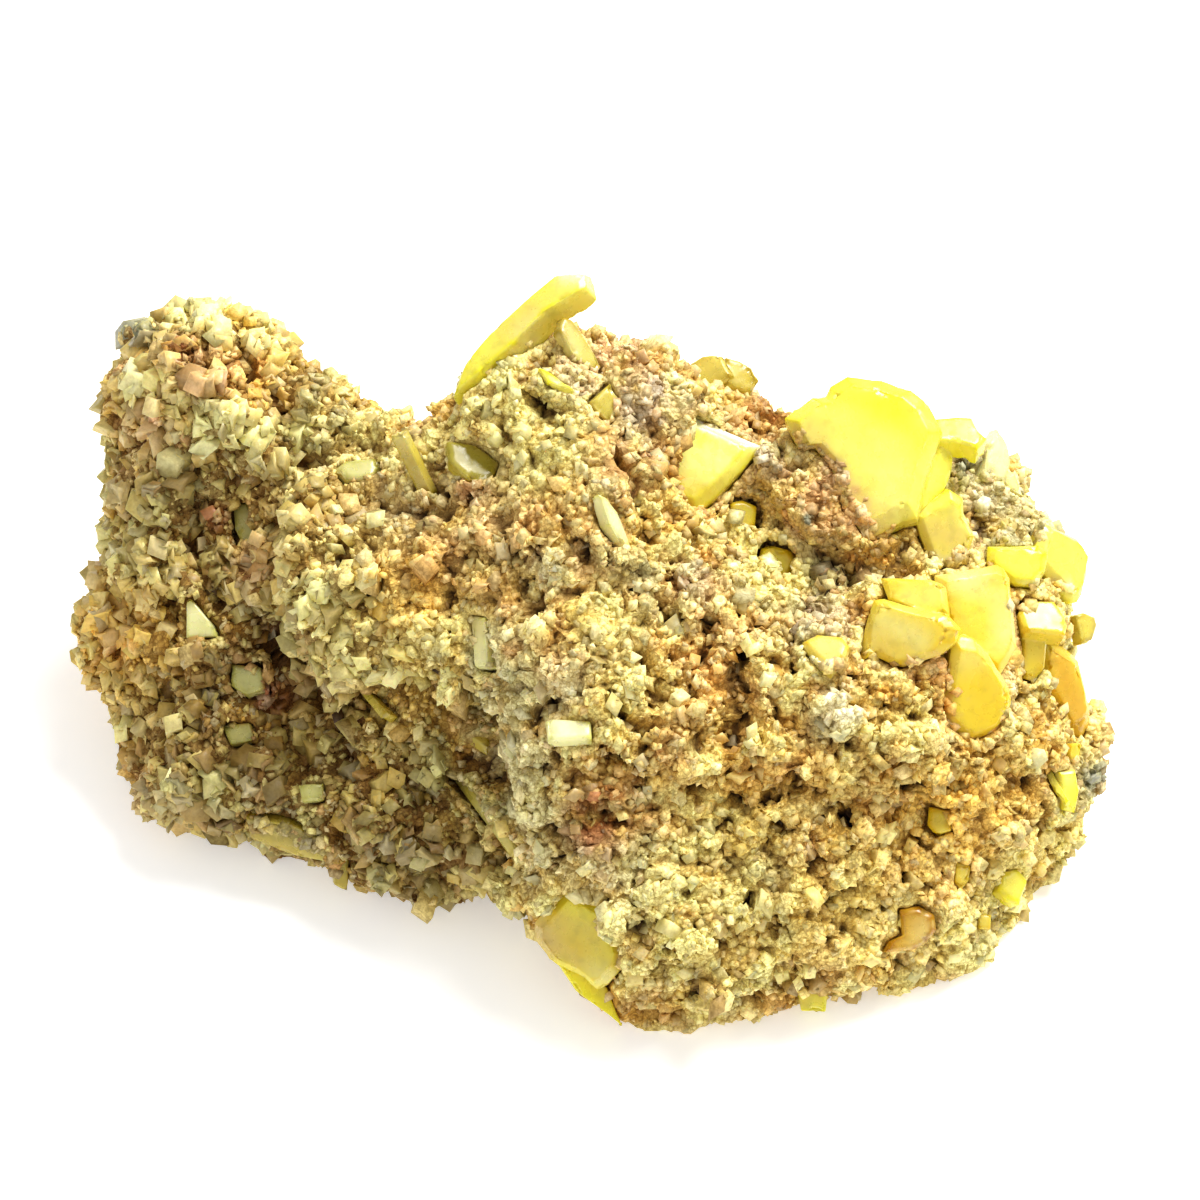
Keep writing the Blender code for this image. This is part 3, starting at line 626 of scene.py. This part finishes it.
def crust_colour(points, hollow):
    """The crust's colour: tan mixed with ochre, cream and pink by broad noises, with less cream in the
    hollows as painted shade, grey-green right of the lobe, speckled darker ochre that gathers in the hollows
    as painted shade, the patches of the show side by exp(-(distance / reach)^2) broken up by noise, some of
    them painted shade, and brown painted shade down in the hollows."""
    across, up = seen_place(points)
    speckle = rough_noise(points, *SPECKLE_NOISE)
    colour = TAN[None]
    for tint, base, share, size, salt, hollow_shade_share in CRUST_MIX:
        colour = mixed(colour, tint, base + share * rough_noise(points, size, salt) + hollow_shade_share * hollow)
    green = 0.9 * rough_noise(points, *GREEN_NOISE) - 0.25
    colour = mixed(colour, GREY_GREEN, green * (across > LOBE_ACROSS))
    # Speckles of darker ochre, also laid into the hollows as painted shade
    colour = mixed(colour, OCHRE * 0.7, 0.6 * speckle + 0.3 * hollow)
    for across_at, up_at, reach, patch, strength in PATCHES:
        away = ((across - across_at) ** 2 + (up - up_at) ** 2) / reach ** 2
        colour = mixed(colour, patch, strength * np.exp(-away) * (1 + 0.9 * speckle))
    # Painted shade: brown, then deep brown, laid in as the skin sinks into its hollows
    colour = mixed(colour, BROWN_SHADE, 0.9 * hollow)
    return mixed(colour, DEEP_BROWN_SHADE, 1.4 * (hollow - 0.5))


def lobe_share(across, up):
    """From 0 to 1 across the line between the body and the lobe of large rhombs on the left:
    1 / (1 + exp(d)), with d the distance right of the line over its softness."""
    return 1 / (1 + np.exp((across - LOBE_ACROSS + LOBE_SLOPE * (up + 3)) / LOBE_SOFTNESS))


def skin_height(points):
    """How far the skin rises or sinks before its seats and its relief: swells of noise, tilted crystal faces
    of two sizes with grooves where the next cell is close, and pits where another noise passes a threshold,
    deepest in the spongy region."""
    height = np.zeros(len(points))
    for rise, size, salt, octaves in SWELLS:
        height += rise * rough_noise(points, size, salt, octaves)
    for size, salt, rise, level, tilt, groove, groove_width in FACES:
        gap, number, face = grain_cells(points, size, salt)
        height = height + rise * (number - level) + tilt * face - groove * np.clip(groove_width - gap, 0, 1)
    across, up = seen_place(points)
    away = np.hypot((across - SPONGE_MIDDLE[0]) / SPONGE_RADIUS, (up - SPONGE_MIDDLE[1]) / SPONGE_RADIUS)
    pits = np.clip(rough_noise(points, PIT_SIZE, PIT_SALT) - PIT_START, 0, 0.8)
    return height - PIT_DEPTH * pits * np.clip(1.4 - away, 0.25, 1)


def rock_skin(crystal_points):
    """The rock's own surface: the CAD rock at a fine size, moved along its normals by the skin's height. It
    sinks or rises along the relief's paths by height times exp(-(distance / half width)^2). Beside a
    wulfenite crystal it rises by a lip's height, so that the crystal sits in it with no gap."""
    mesh = fine_copy("rock", SKIN_VOXEL)
    points, normals, edges = read_points(mesh), read_normals(mesh), read_edges(mesh)
    across, up = seen_place(points)
    shown = facing_share(normals)
    beside = smoothed(near(points, crystal_points, SEAT_REACH).astype(float)[:, None], edges, 3)[:, 0]
    lip = SEAT_LIP * (1 + 0.8 * soft_noise(points, *LIP_NOISE))
    height = skin_height(points) * (1 - beside) + lip * beside
    for rise, half_width, path in RELIEF:
        height += rise * shown * (1 - 0.7 * beside) * beside_share(across, up, path, half_width)
    above = np.clip(points[:, 2] / FLOOR_CLEAR - 0.2, 0, 1)
    points = points + normals * (np.clip(height, DEEPEST, HIGHEST) * above)[:, None]
    points[:, 2] = np.maximum(points[:, 2], 0)
    write_points(mesh, points)
    hollow = hollowness(points, read_normals(mesh), edges, 40)
    # Brown over the lobe: partly the lobe's own olive-brown, partly painted shade
    write_tint(mesh, mixed(crust_colour(points, hollow), BROWN_SHADE, LOBE_BROWN_SHADE * lobe_share(across, up)))
    return mesh, hollow


def part_of(mesh, name, start, end):
    """The skin's faces whose middles lie from start to end along x, as a mesh of its own. It meets its
    neighbours edge to edge."""
    part = mesh.copy()
    part.name = name
    bm = bmesh.new()
    bm.from_mesh(part)
    others = [face for face in bm.faces if not start <= face.calc_center_median().x / MM < end]
    bmesh.ops.delete(bm, geom=others, context="FACES")
    bm.to_mesh(part)
    bm.free()
    return part


def shares_of(mesh, weights):
    """Each triangle's area in square millimetres times its corners' mean weight, with its corners and its
    normal."""
    points, triangles = read_points(mesh), read_triangles(mesh)
    a, b, c = (points[triangles[:, i]] for i in range(3))
    cross = np.cross(b - a, c - a)
    return np.linalg.norm(cross, axis=1) / 2 * weights[triangles].mean(axis=1), (a, b - a, c - a), unit(cross)


def places_on(mesh, weights, count):
    """Scattered places on a skin: a triangle is picked with a chance in proportion to its share, and the
    place in it is a + u(b - a) + v(c - a), with u and v folded back where they pass 1 together. Gives the
    places, the triangles' normals, and the triangles' numbers."""
    shares, (corner, along, aside), normals = shares_of(mesh, weights)
    picked = rng.choice(len(shares), count, p=shares / shares.sum())
    u, v = rng.random((2, count))
    over = u + v > 1
    u, v = np.where(over, 1 - u, u), np.where(over, 1 - v, v)
    places = corner[picked] + u[:, None] * along[picked] + v[:, None] * aside[picked]
    return places, normals[picked], picked


def rhomb_form(drawn_in):
    """A rhomb of edge 1 about the origin: a cube stood on a corner and squashed to 0.7 along that diagonal,
    with its faces' middles drawn in by that much if it is over 0. Gives its corners, its triangles and how
    light each corner is painted: lighter at the corners as painted highlight, darker at the faces' middles as
    painted shade."""
    bm = bmesh.new()
    bmesh.ops.create_cube(bm, size=1)
    if drawn_in:
        bmesh.ops.poke(bm, faces=bm.faces, offset=-drawn_in)
    bmesh.ops.triangulate(bm, faces=bm.faces)
    stand = Vector((1, 1, 1)).rotation_difference(Vector((0, 0, 1))).to_matrix()
    lengths = np.array([v.co.length for v in bm.verts])
    corners = np.array([stand @ v.co for v in bm.verts]) * (1.15, 1.15, 0.7)
    faces = np.array([[v.index for v in face.verts] for face in bm.faces])
    bm.free()
    return corners, faces, np.where(lengths > 0.7, 1.12, 0.88)


def grain_frames(normals, lean):
    """Three axes for each grain: the third is the skin's normal leaning at random by about that much, and the
    others are turned round it at random."""
    third = unit(normals + lean * rng.normal(size=normals.shape))
    first = unit(np.cross(third, rng.normal(size=normals.shape)))
    return np.stack((first, np.cross(third, first), third), axis=1)


def grains(name, places, normals, sizes, tints, form, finish, sunk, lean):
    """Many small crystals as one mesh: every corner of the form, times the grain's size, is carried along the
    grain's three axes from a place sunk under the skin by that share of its size."""
    corners, faces, light = form
    axes = grain_frames(normals, lean)
    stretch = sizes[:, None, None] * (0.7 + 0.6 * rng.random((len(places), 1, 3)))
    centres = places - normals * (sizes * sunk)[:, None]
    points = centres[:, None] + np.einsum("ncj,njk->nck", corners * stretch, axes)
    points[..., 2] = np.maximum(points[..., 2], 0.02)
    offsets = np.arange(len(places))[:, None, None] * len(corners)
    mesh = mesh_of(name, points.reshape(-1, 3), (faces[None] + offsets).reshape(-1, 3))
    # Each corner's tint is lightened or darkened by the form: painted highlight at the corners, painted shade
    # at the faces' middles
    write_tint(mesh, (tints[:, None] * light[None, :, None]).reshape(-1, 3))
    return finished_piece(name, mesh, finish)


def grain_tints(places, hollow, pale):
    """The crust's colour at each place, with some grains cream, white or pink, and all a little lighter or
    darker."""
    tints = crust_colour(places, hollow)
    pales = np.array((CREAM, WHITE_DUST, PINKISH))[rng.integers(0, 3, len(places))]
    tints = mixed(tints, pales, np.clip(pale * 3 * rng.random(len(places)), 0, 0.8))
    return tints * (1 + 0.3 * rng.uniform(-1, 1, (len(places), 1)))


def crust_of_grains(name, mesh, hollow, weights, count, size, form, finish, sunk, pale, lean):
    """Grains over a skin, with the crust's colour where each stands. A grain's size is the middle size times
    e to the power of a normal draw times the spread, up to the largest."""
    places, normals, picked = places_on(mesh, weights, count)
    hollow_there = hollow[read_triangles(mesh)[picked]].mean(axis=1)
    sizes = np.minimum(size * np.exp(GRAIN_SPREAD * rng.normal(size=count)), LARGEST_GRAIN * size)
    # The hollow under each grain darkens its tint as painted shade
    tints = grain_tints(places, hollow_there - 0.1, pale)
    return grains(name, places, normals, sizes, tints, form, finish, sunk, lean)


def overgrowth(grown, form, finish):
    """Grains over the crusted parts of the crystals, one piece for all of them, with sizes drawn as the other
    crusts' are."""
    places, normals = [], []
    for mesh, crusted in grown:
        weights = np.clip(crusted * 1.6 - 0.6, 0, 1)
        count = int(OVERGROWTH_DENSITY * shares_of(mesh, weights)[0].sum())
        if count:
            some, directions, _ = places_on(mesh, weights, count)
            places.append(some)
            normals.append(directions)
    places, normals = np.concatenate(places), np.concatenate(normals)
    spread = np.exp(OVERGROWTH_SPREAD * rng.normal(size=len(places)))
    sizes = np.minimum(OVERGROWTH_SIZE * spread, OVERGROWTH_LARGEST * OVERGROWTH_SIZE)
    tints = grain_tints(places, np.zeros(len(places)), OVERGROWTH_PALE)
    return grains(
        "overgrowth", places, normals, sizes, tints, form, finish, OVERGROWTH_SUNK, OVERGROWTH_LEAN
    )


def node_tree(name):
    """A new material, with its nodes, its links and its main shader."""
    made = bpy.data.materials.new(name)
    made.use_nodes = True
    nodes, links = made.node_tree.nodes, made.node_tree.links
    return made, nodes, links, nodes["Principled BSDF"]


def add_noise(nodes, links, scale, detail, place):
    """Noise on Object coordinates, in cells of 1 / scale metres."""
    noise = nodes.new("ShaderNodeTexNoise")
    noise.inputs["Scale"].default_value = scale
    noise.inputs["Detail"].default_value = detail
    links.new(place.outputs["Object"], noise.inputs["Vector"])
    return noise


def add_ramp(nodes, links, source, stops):
    """Colours read along a scale, at the stops' positions."""
    ramp = nodes.new("ShaderNodeValToRGB")
    elements = ramp.color_ramp.elements
    while len(elements) < len(stops):
        elements.new(0.5)
    for element, (position, colour) in zip(elements, stops):
        element.position = position
        element.color = (*colour, 1)
    links.new(source, ramp.inputs["Fac"])
    return ramp


def add_mix(nodes, links, kind, first, second, share):
    """The second colour laid over the first by that share, in one of the blend types."""
    mix = nodes.new("ShaderNodeMix")
    mix.data_type = "RGBA"
    mix.blend_type = kind
    sockets = [s for s in mix.inputs if s.name in ("A", "B") and s.type == "RGBA"]
    links.new(first, sockets[0])
    links.new(second, sockets[1])
    factor = [s for s in mix.inputs if s.name == "Factor" and s.type == "VALUE"][0]
    factor.default_value = share
    return [s for s in mix.outputs if s.type == "RGBA"][0]


def add_bump(nodes, links, shader, height, distance, strength):
    """Fine relief on the shading, that distance high in millimetres."""
    bump = nodes.new("ShaderNodeBump")
    bump.inputs["Distance"].default_value = distance * MM
    bump.inputs["Strength"].default_value = strength
    links.new(height, bump.inputs["Height"])
    links.new(bump.outputs["Normal"], shader.inputs["Normal"])


def crust_finish(name, roughness, joint_share, glow):
    """The crust: its tint, spotted by fine noise, broken into sugary cells with darker joints by that share,
    and raised to match."""
    made, nodes, links, shader = node_tree(name)
    place = nodes.new("ShaderNodeTexCoord")
    tint = nodes.new("ShaderNodeAttribute")
    tint.attribute_name = "tint"
    speckle = add_noise(nodes, links, SPOTS_TO_METRE, 4, place)
    cells = nodes.new("ShaderNodeTexVoronoi")
    cells.feature = "DISTANCE_TO_EDGE"
    cells.inputs["Scale"].default_value = SUGAR_TO_METRE
    links.new(place.outputs["Object"], cells.inputs["Vector"])
    joint_stops = ((0.0, (0.6, 0.52, 0.42)), (0.14, (1.0, 1.0, 1.0)))
    joints = add_ramp(nodes, links, cells.outputs["Distance"], joint_stops).outputs["Color"]
    spot_stops = ((0.36, (0.7, 0.64, 0.52)), (0.58, (1.15, 1.15, 1.1)))
    spots = add_ramp(nodes, links, speckle.outputs["Fac"], spot_stops).outputs["Color"]
    colour = add_mix(nodes, links, "MULTIPLY", tint.outputs["Color"], spots, min(1, 2 * joint_share))
    colour = add_mix(nodes, links, "MULTIPLY", colour, joints, joint_share)
    links.new(colour, shader.inputs["Base Color"])
    gloss_stops = ((0.35, (roughness + 0.2,) * 3), (0.65, (roughness,) * 3))
    gloss = add_ramp(nodes, links, speckle.outputs["Fac"], gloss_stops)
    links.new(gloss.outputs["Color"], shader.inputs["Roughness"])
    shader.inputs["Subsurface Weight"].default_value = glow
    shader.inputs["Subsurface Radius"].default_value = (1.0, 0.75, 0.35)
    shader.inputs["Subsurface Scale"].default_value = 0.6 * MM
    height = add_mix(nodes, links, "MULTIPLY", speckle.outputs["Color"], joints, joint_share)
    add_bump(nodes, links, shader, height, 0.12, 0.7)
    return made


def wulfenite_finish(name, clear, cloud):
    """Wulfenite: its tint, part clear and part cloudy, resinous, with faint growth steps."""
    made, nodes, links, shader = node_tree(name)
    place = nodes.new("ShaderNodeTexCoord")
    tint = nodes.new("ShaderNodeAttribute")
    tint.attribute_name = "tint"
    flecks = add_noise(nodes, links, FLECKS_TO_METRE, 4, place)
    spots = add_ramp(nodes, links, flecks.outputs["Fac"], ((0.3, (0.9,) * 3), (0.5, (1.04,) * 3)))
    colour = add_mix(nodes, links, "MULTIPLY", tint.outputs["Color"], spots.outputs["Color"], 1.0)
    links.new(colour, shader.inputs["Base Color"])
    steps = add_noise(nodes, links, STEPS_TO_METRE, 5, place)
    gloss = add_ramp(nodes, links, steps.outputs["Fac"], ((0.35, (0.2,) * 3), (0.75, (0.45,) * 3)))
    links.new(gloss.outputs["Color"], shader.inputs["Roughness"])
    shader.inputs["Transmission Weight"].default_value = clear
    shader.inputs["Subsurface Weight"].default_value = cloud
    shader.inputs["Subsurface Radius"].default_value = (1.0, 0.8, 0.15)
    shader.inputs["Subsurface Scale"].default_value = 1.5 * MM
    shader.inputs["IOR"].default_value = WULFENITE_IOR
    add_bump(nodes, links, shader, steps.outputs["Fac"], 0.05, 0.3)
    return made


def crisp_copy(node):
    """A copy of a CAD crystal ready for detail: its doubles and flat joins merged, its sharp edges bevelled,
    and every edge halved until it is short."""
    bm = bmesh.new()
    bm.from_mesh(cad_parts[node].data)
    bmesh.ops.remove_doubles(bm, verts=bm.verts, dist=MERGE * MM)
    bmesh.ops.dissolve_limit(bm, angle_limit=math.radians(2), verts=bm.verts, edges=bm.edges)
    sharp = [e for e in bm.edges if len(e.link_faces) == 2 and e.calc_face_angle() > math.radians(20)]
    bmesh.ops.bevel(
        bm, geom=sharp, offset=CRYSTAL_BEVEL * MM, segments=1, affect="EDGES", clamp_overlap=True
    )
    bmesh.ops.triangulate(bm, faces=bm.faces)
    for _ in range(HALVINGS):
        long = [e for e in bm.edges if e.calc_length() > CRYSTAL_EDGE * MM]
        bmesh.ops.subdivide_edges(bm, edges=long, cuts=1)
        bmesh.ops.triangulate(bm, faces=bm.faces)
    bmesh.ops.recalc_face_normals(bm, faces=bm.faces)
    mesh = bpy.data.meshes.new(node + "_grown")
    bm.to_mesh(mesh)
    bm.free()
    return mesh


def middled(values):
    """The values less the middle of their range."""
    return values - (np.min(values) + np.max(values)) / 2


def lens_form(points):
    """A blade thinned and narrowed towards its ends: at t along its length, from -1 to 1, each point's
    distance from the middle is scaled by 0.3 + 0.7 sqrt(1 - t^2) across the thickness and by
    sqrt(1 - 0.8 t^8) across the width. The length, the width and the thickness run along the directions of
    most, middle and least spread."""
    _, _, axes = np.linalg.svd(points - points.mean(axis=0), full_matrices=False)
    along, aside, off_plane = (middled(points @ axis) for axis in axes)
    along = np.clip(np.abs(along) / np.abs(along).max(), 0, 1)
    thinner = 0.7 * (np.sqrt(1 - along ** 2) - 1)
    narrower = np.sqrt(1 - 0.8 * along ** 8) - 1
    return points + (thinner * off_plane)[:, None] * axes[2] + (narrower * aside)[:, None] * axes[1]


def crystal_tint(points, shown, rim, face, deep):
    """A crystal's colour: the faces' colour with tan and pale clouds, the deeper colour along its rims, and
    the zones of the show side by exp(-(distance / half width)^2), with painted highlight and shade among
    them."""
    across, up = seen_place(points)
    tint = mixed(face[None], TAN, 0.12 + 0.45 * rough_noise(points, *CLOUD_NOISE))
    tint = mixed(tint, PALE_FACE, 0.5 * soft_noise(points, *PALE_NOISE))
    tint = mixed(tint, deep, 0.9 * rim + 0.5 * rough_noise(points, *DEEP_NOISE))
    for half_width, strength, zone, path in ZONES_AND_PAINTED_LIGHT:
        tint = mixed(tint, zone, strength * shown * beside_share(across, up, path, half_width))
    return tint


def grown_crystal(node, mesh, finish, face, deep, rock_points):
    """One wulfenite solid at a fine size: terraced along its normals by noise rounded down to steps, its
    sharp edges chipped by another noise, and its tint mixed from face to rim, with crust creeping up from the
    rock and along the overgrowth's paths."""
    points, normals, edges = read_points(mesh), read_normals(mesh), read_edges(mesh)
    rim = np.clip(-hollowness(points, normals, edges, 6) / RIM_DEPTH, 0, 1)
    steps = np.floor(soft_noise(points, *STEP_NOISE) * 3) / 3
    chips = rim * np.clip(rough_noise(points, *CHIP_NOISE) - 0.1, 0, 1)
    points = points + normals * (STEP_HEIGHT * steps - CHIP_DEPTH * chips)[:, None]
    if node in LENS_SHAPED:
        points = lens_form(points)
    points[:, 2] = np.maximum(points[:, 2], 0)
    write_points(mesh, points)
    close = 0.8 * smoothed(near(points, rock_points, CREEP_REACH).astype(float)[:, None], edges, 4)[:, 0]
    across, up = seen_place(points)
    shown = facing_share(normals)
    for half_width, path in OVERGROWTH:
        close = np.maximum(close, 1.5 * shown * beside_share(across, up, path, half_width))
    crusted = np.clip(close + 0.6 * rough_noise(points, *CREEP_NOISE) - 0.55, 0, 1)
    tint = crystal_tint(points, shown, rim, face, deep)
    write_tint(mesh, mixed(tint, crust_colour(points, np.zeros(len(points))), crusted))
    mesh.polygons.foreach_set("use_smooth", np.ones(len(mesh.polygons), bool))
    mesh.set_sharp_from_angle(angle=math.radians(16))
    piece = finished_piece(node + "_grown", mesh, finish)
    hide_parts(node)
    return mesh, crusted


def growing_places(skin, hollow, crystal_points):
    """How thickly grains stand at each of the skin's vertices, for each of the places that the crusts name:
    none under the crystals or at the floor, and fewer down in the hollows."""
    points = read_points(skin)
    across, up = seen_place(points)
    shown = read_normals(skin) @ TOWARDS_EYE > -0.25
    high = points[:, 2] > FLOOR_DISTANCE
    lobe = lobe_share(across, up)
    free = (~near(points, crystal_points, DRUSE_DISTANCE) & high) * np.clip(1.1 - 0.8 * hollow, 0, 1)
    open_rock = free * ~near(points, crystal_points, RHOMB_DISTANCE)
    seams = near(points, crystal_points, SEAM_TO) & ~near(points, crystal_points, SEAM_FROM)
    return {
        "open lobe": open_rock * lobe * shown,
        "open body": open_rock * (1 - lobe) * shown,
        "front": free * shown,
        "back": free * ~shown,
        "seams": seams & high,
    }


def specimen():
    """The crystals, the rock's skin in three pieces that meet edge to edge, and the crusts on both."""
    wulfenite = {name: wulfenite_finish(name, *shares) for name, shares in WULFENITE_FINISHES.items()}
    crust = {name: crust_finish(name, *values) for name, values in CRUST_FINISHES.items()}
    bodies = {node: crisp_copy(node) for node in CRYSTALS}
    crystal_points = np.concatenate([read_points(mesh) for mesh in bodies.values()])
    skin, hollow = rock_skin(crystal_points)
    for name, (start, end) in SKIN_PIECES.items():
        piece = finished_piece(name, part_of(skin, name, start, end), crust["rock crust"])
        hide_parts("rock")
    rock_points = read_points(skin)
    grown = []
    for node, look in CRYSTALS.items():
        finish, face, deep = WULFENITE_LOOKS[look]
        grown.append(grown_crystal(node, bodies[node], wulfenite[finish], face, deep, rock_points))
    places = growing_places(skin, hollow, crystal_points)
    forms = {"plain": rhomb_form(0), "saddled": rhomb_form(SADDLE_DEPTH)}
    for name, place, count, size, form, finish, sunk, pale, lean in CRUSTS:
        crust_of_grains(
            name, skin, hollow, places[place], count, size, forms[form], crust[finish], sunk, pale, lean
        )
    overgrowth(grown, forms["plain"], crust["sugary druse"])


def camera():
    """The show view's camera: its lens takes in the view's width at the centre's distance."""
    data = bpy.data.cameras.new("show view")
    data.sensor_width = SENSOR_WIDTH
    data.lens = SENSOR_WIDTH * EYE_DISTANCE / VIEW_WIDTH
    data.clip_start = 0.01
    made = bpy.data.objects.new("show view", data)
    bpy.context.scene.collection.objects.link(made)
    back = Vector((0, -COS_E, SIN_E))
    made.location = (Vector(VIEW_CENTRE) + back * EYE_DISTANCE) * MM
    made.rotation_euler = back.to_track_quat("Z", "Y").to_euler()
    bpy.context.scene.camera = made


def area_light(name, place, size, power):
    """A square white light at a place given in metres, turned to the origin."""
    data = bpy.data.lights.new(name, "AREA")
    data.size = size
    data.energy = power
    made = bpy.data.objects.new(name, data)
    bpy.context.scene.collection.objects.link(made)
    made.location = place
    made.rotation_euler = Vector(place).to_track_quat("Z", "Y").to_euler()


def studio():
    """A pale floor, a large soft light behind and above, a weak fill in front, and an even white sky."""
    mesh = bpy.data.meshes.new("floor")
    corners = [(-FLOOR_HALF, -FLOOR_HALF, 0), (FLOOR_HALF, -FLOOR_HALF, 0)]
    corners += [(FLOOR_HALF, FLOOR_HALF, 0), (-FLOOR_HALF, FLOOR_HALF, 0)]
    mesh.from_pydata(corners, [], [(0, 1, 2, 3)])
    made, _, _, shader = node_tree("pale floor")
    shader.inputs["Base Color"].default_value = (0.92, 0.92, 0.92, 1)
    shader.inputs["Roughness"].default_value = 0.9
    shader.inputs["Emission Color"].default_value = (1, 1, 1, 1)
    shader.inputs["Emission Strength"].default_value = FLOOR_GLOW
    floor = bpy.data.objects.new("floor", mesh)
    mesh.materials.append(made)
    bpy.context.scene.collection.objects.link(floor)
    for name, (place, size, power) in LIGHTS.items():
        area_light(name, place, size, power)
    world = bpy.data.worlds.new("studio")
    world.use_nodes = True
    sky = world.node_tree.nodes["Background"]
    sky.inputs["Color"].default_value = (1, 1, 1, 1)
    sky.inputs["Strength"].default_value = SKY_STRENGTH
    scene = bpy.context.scene
    scene.world = world
    scene.view_settings.view_transform = "Standard"
    scene.view_settings.look = "Medium High Contrast"


specimen()
camera()
studio()
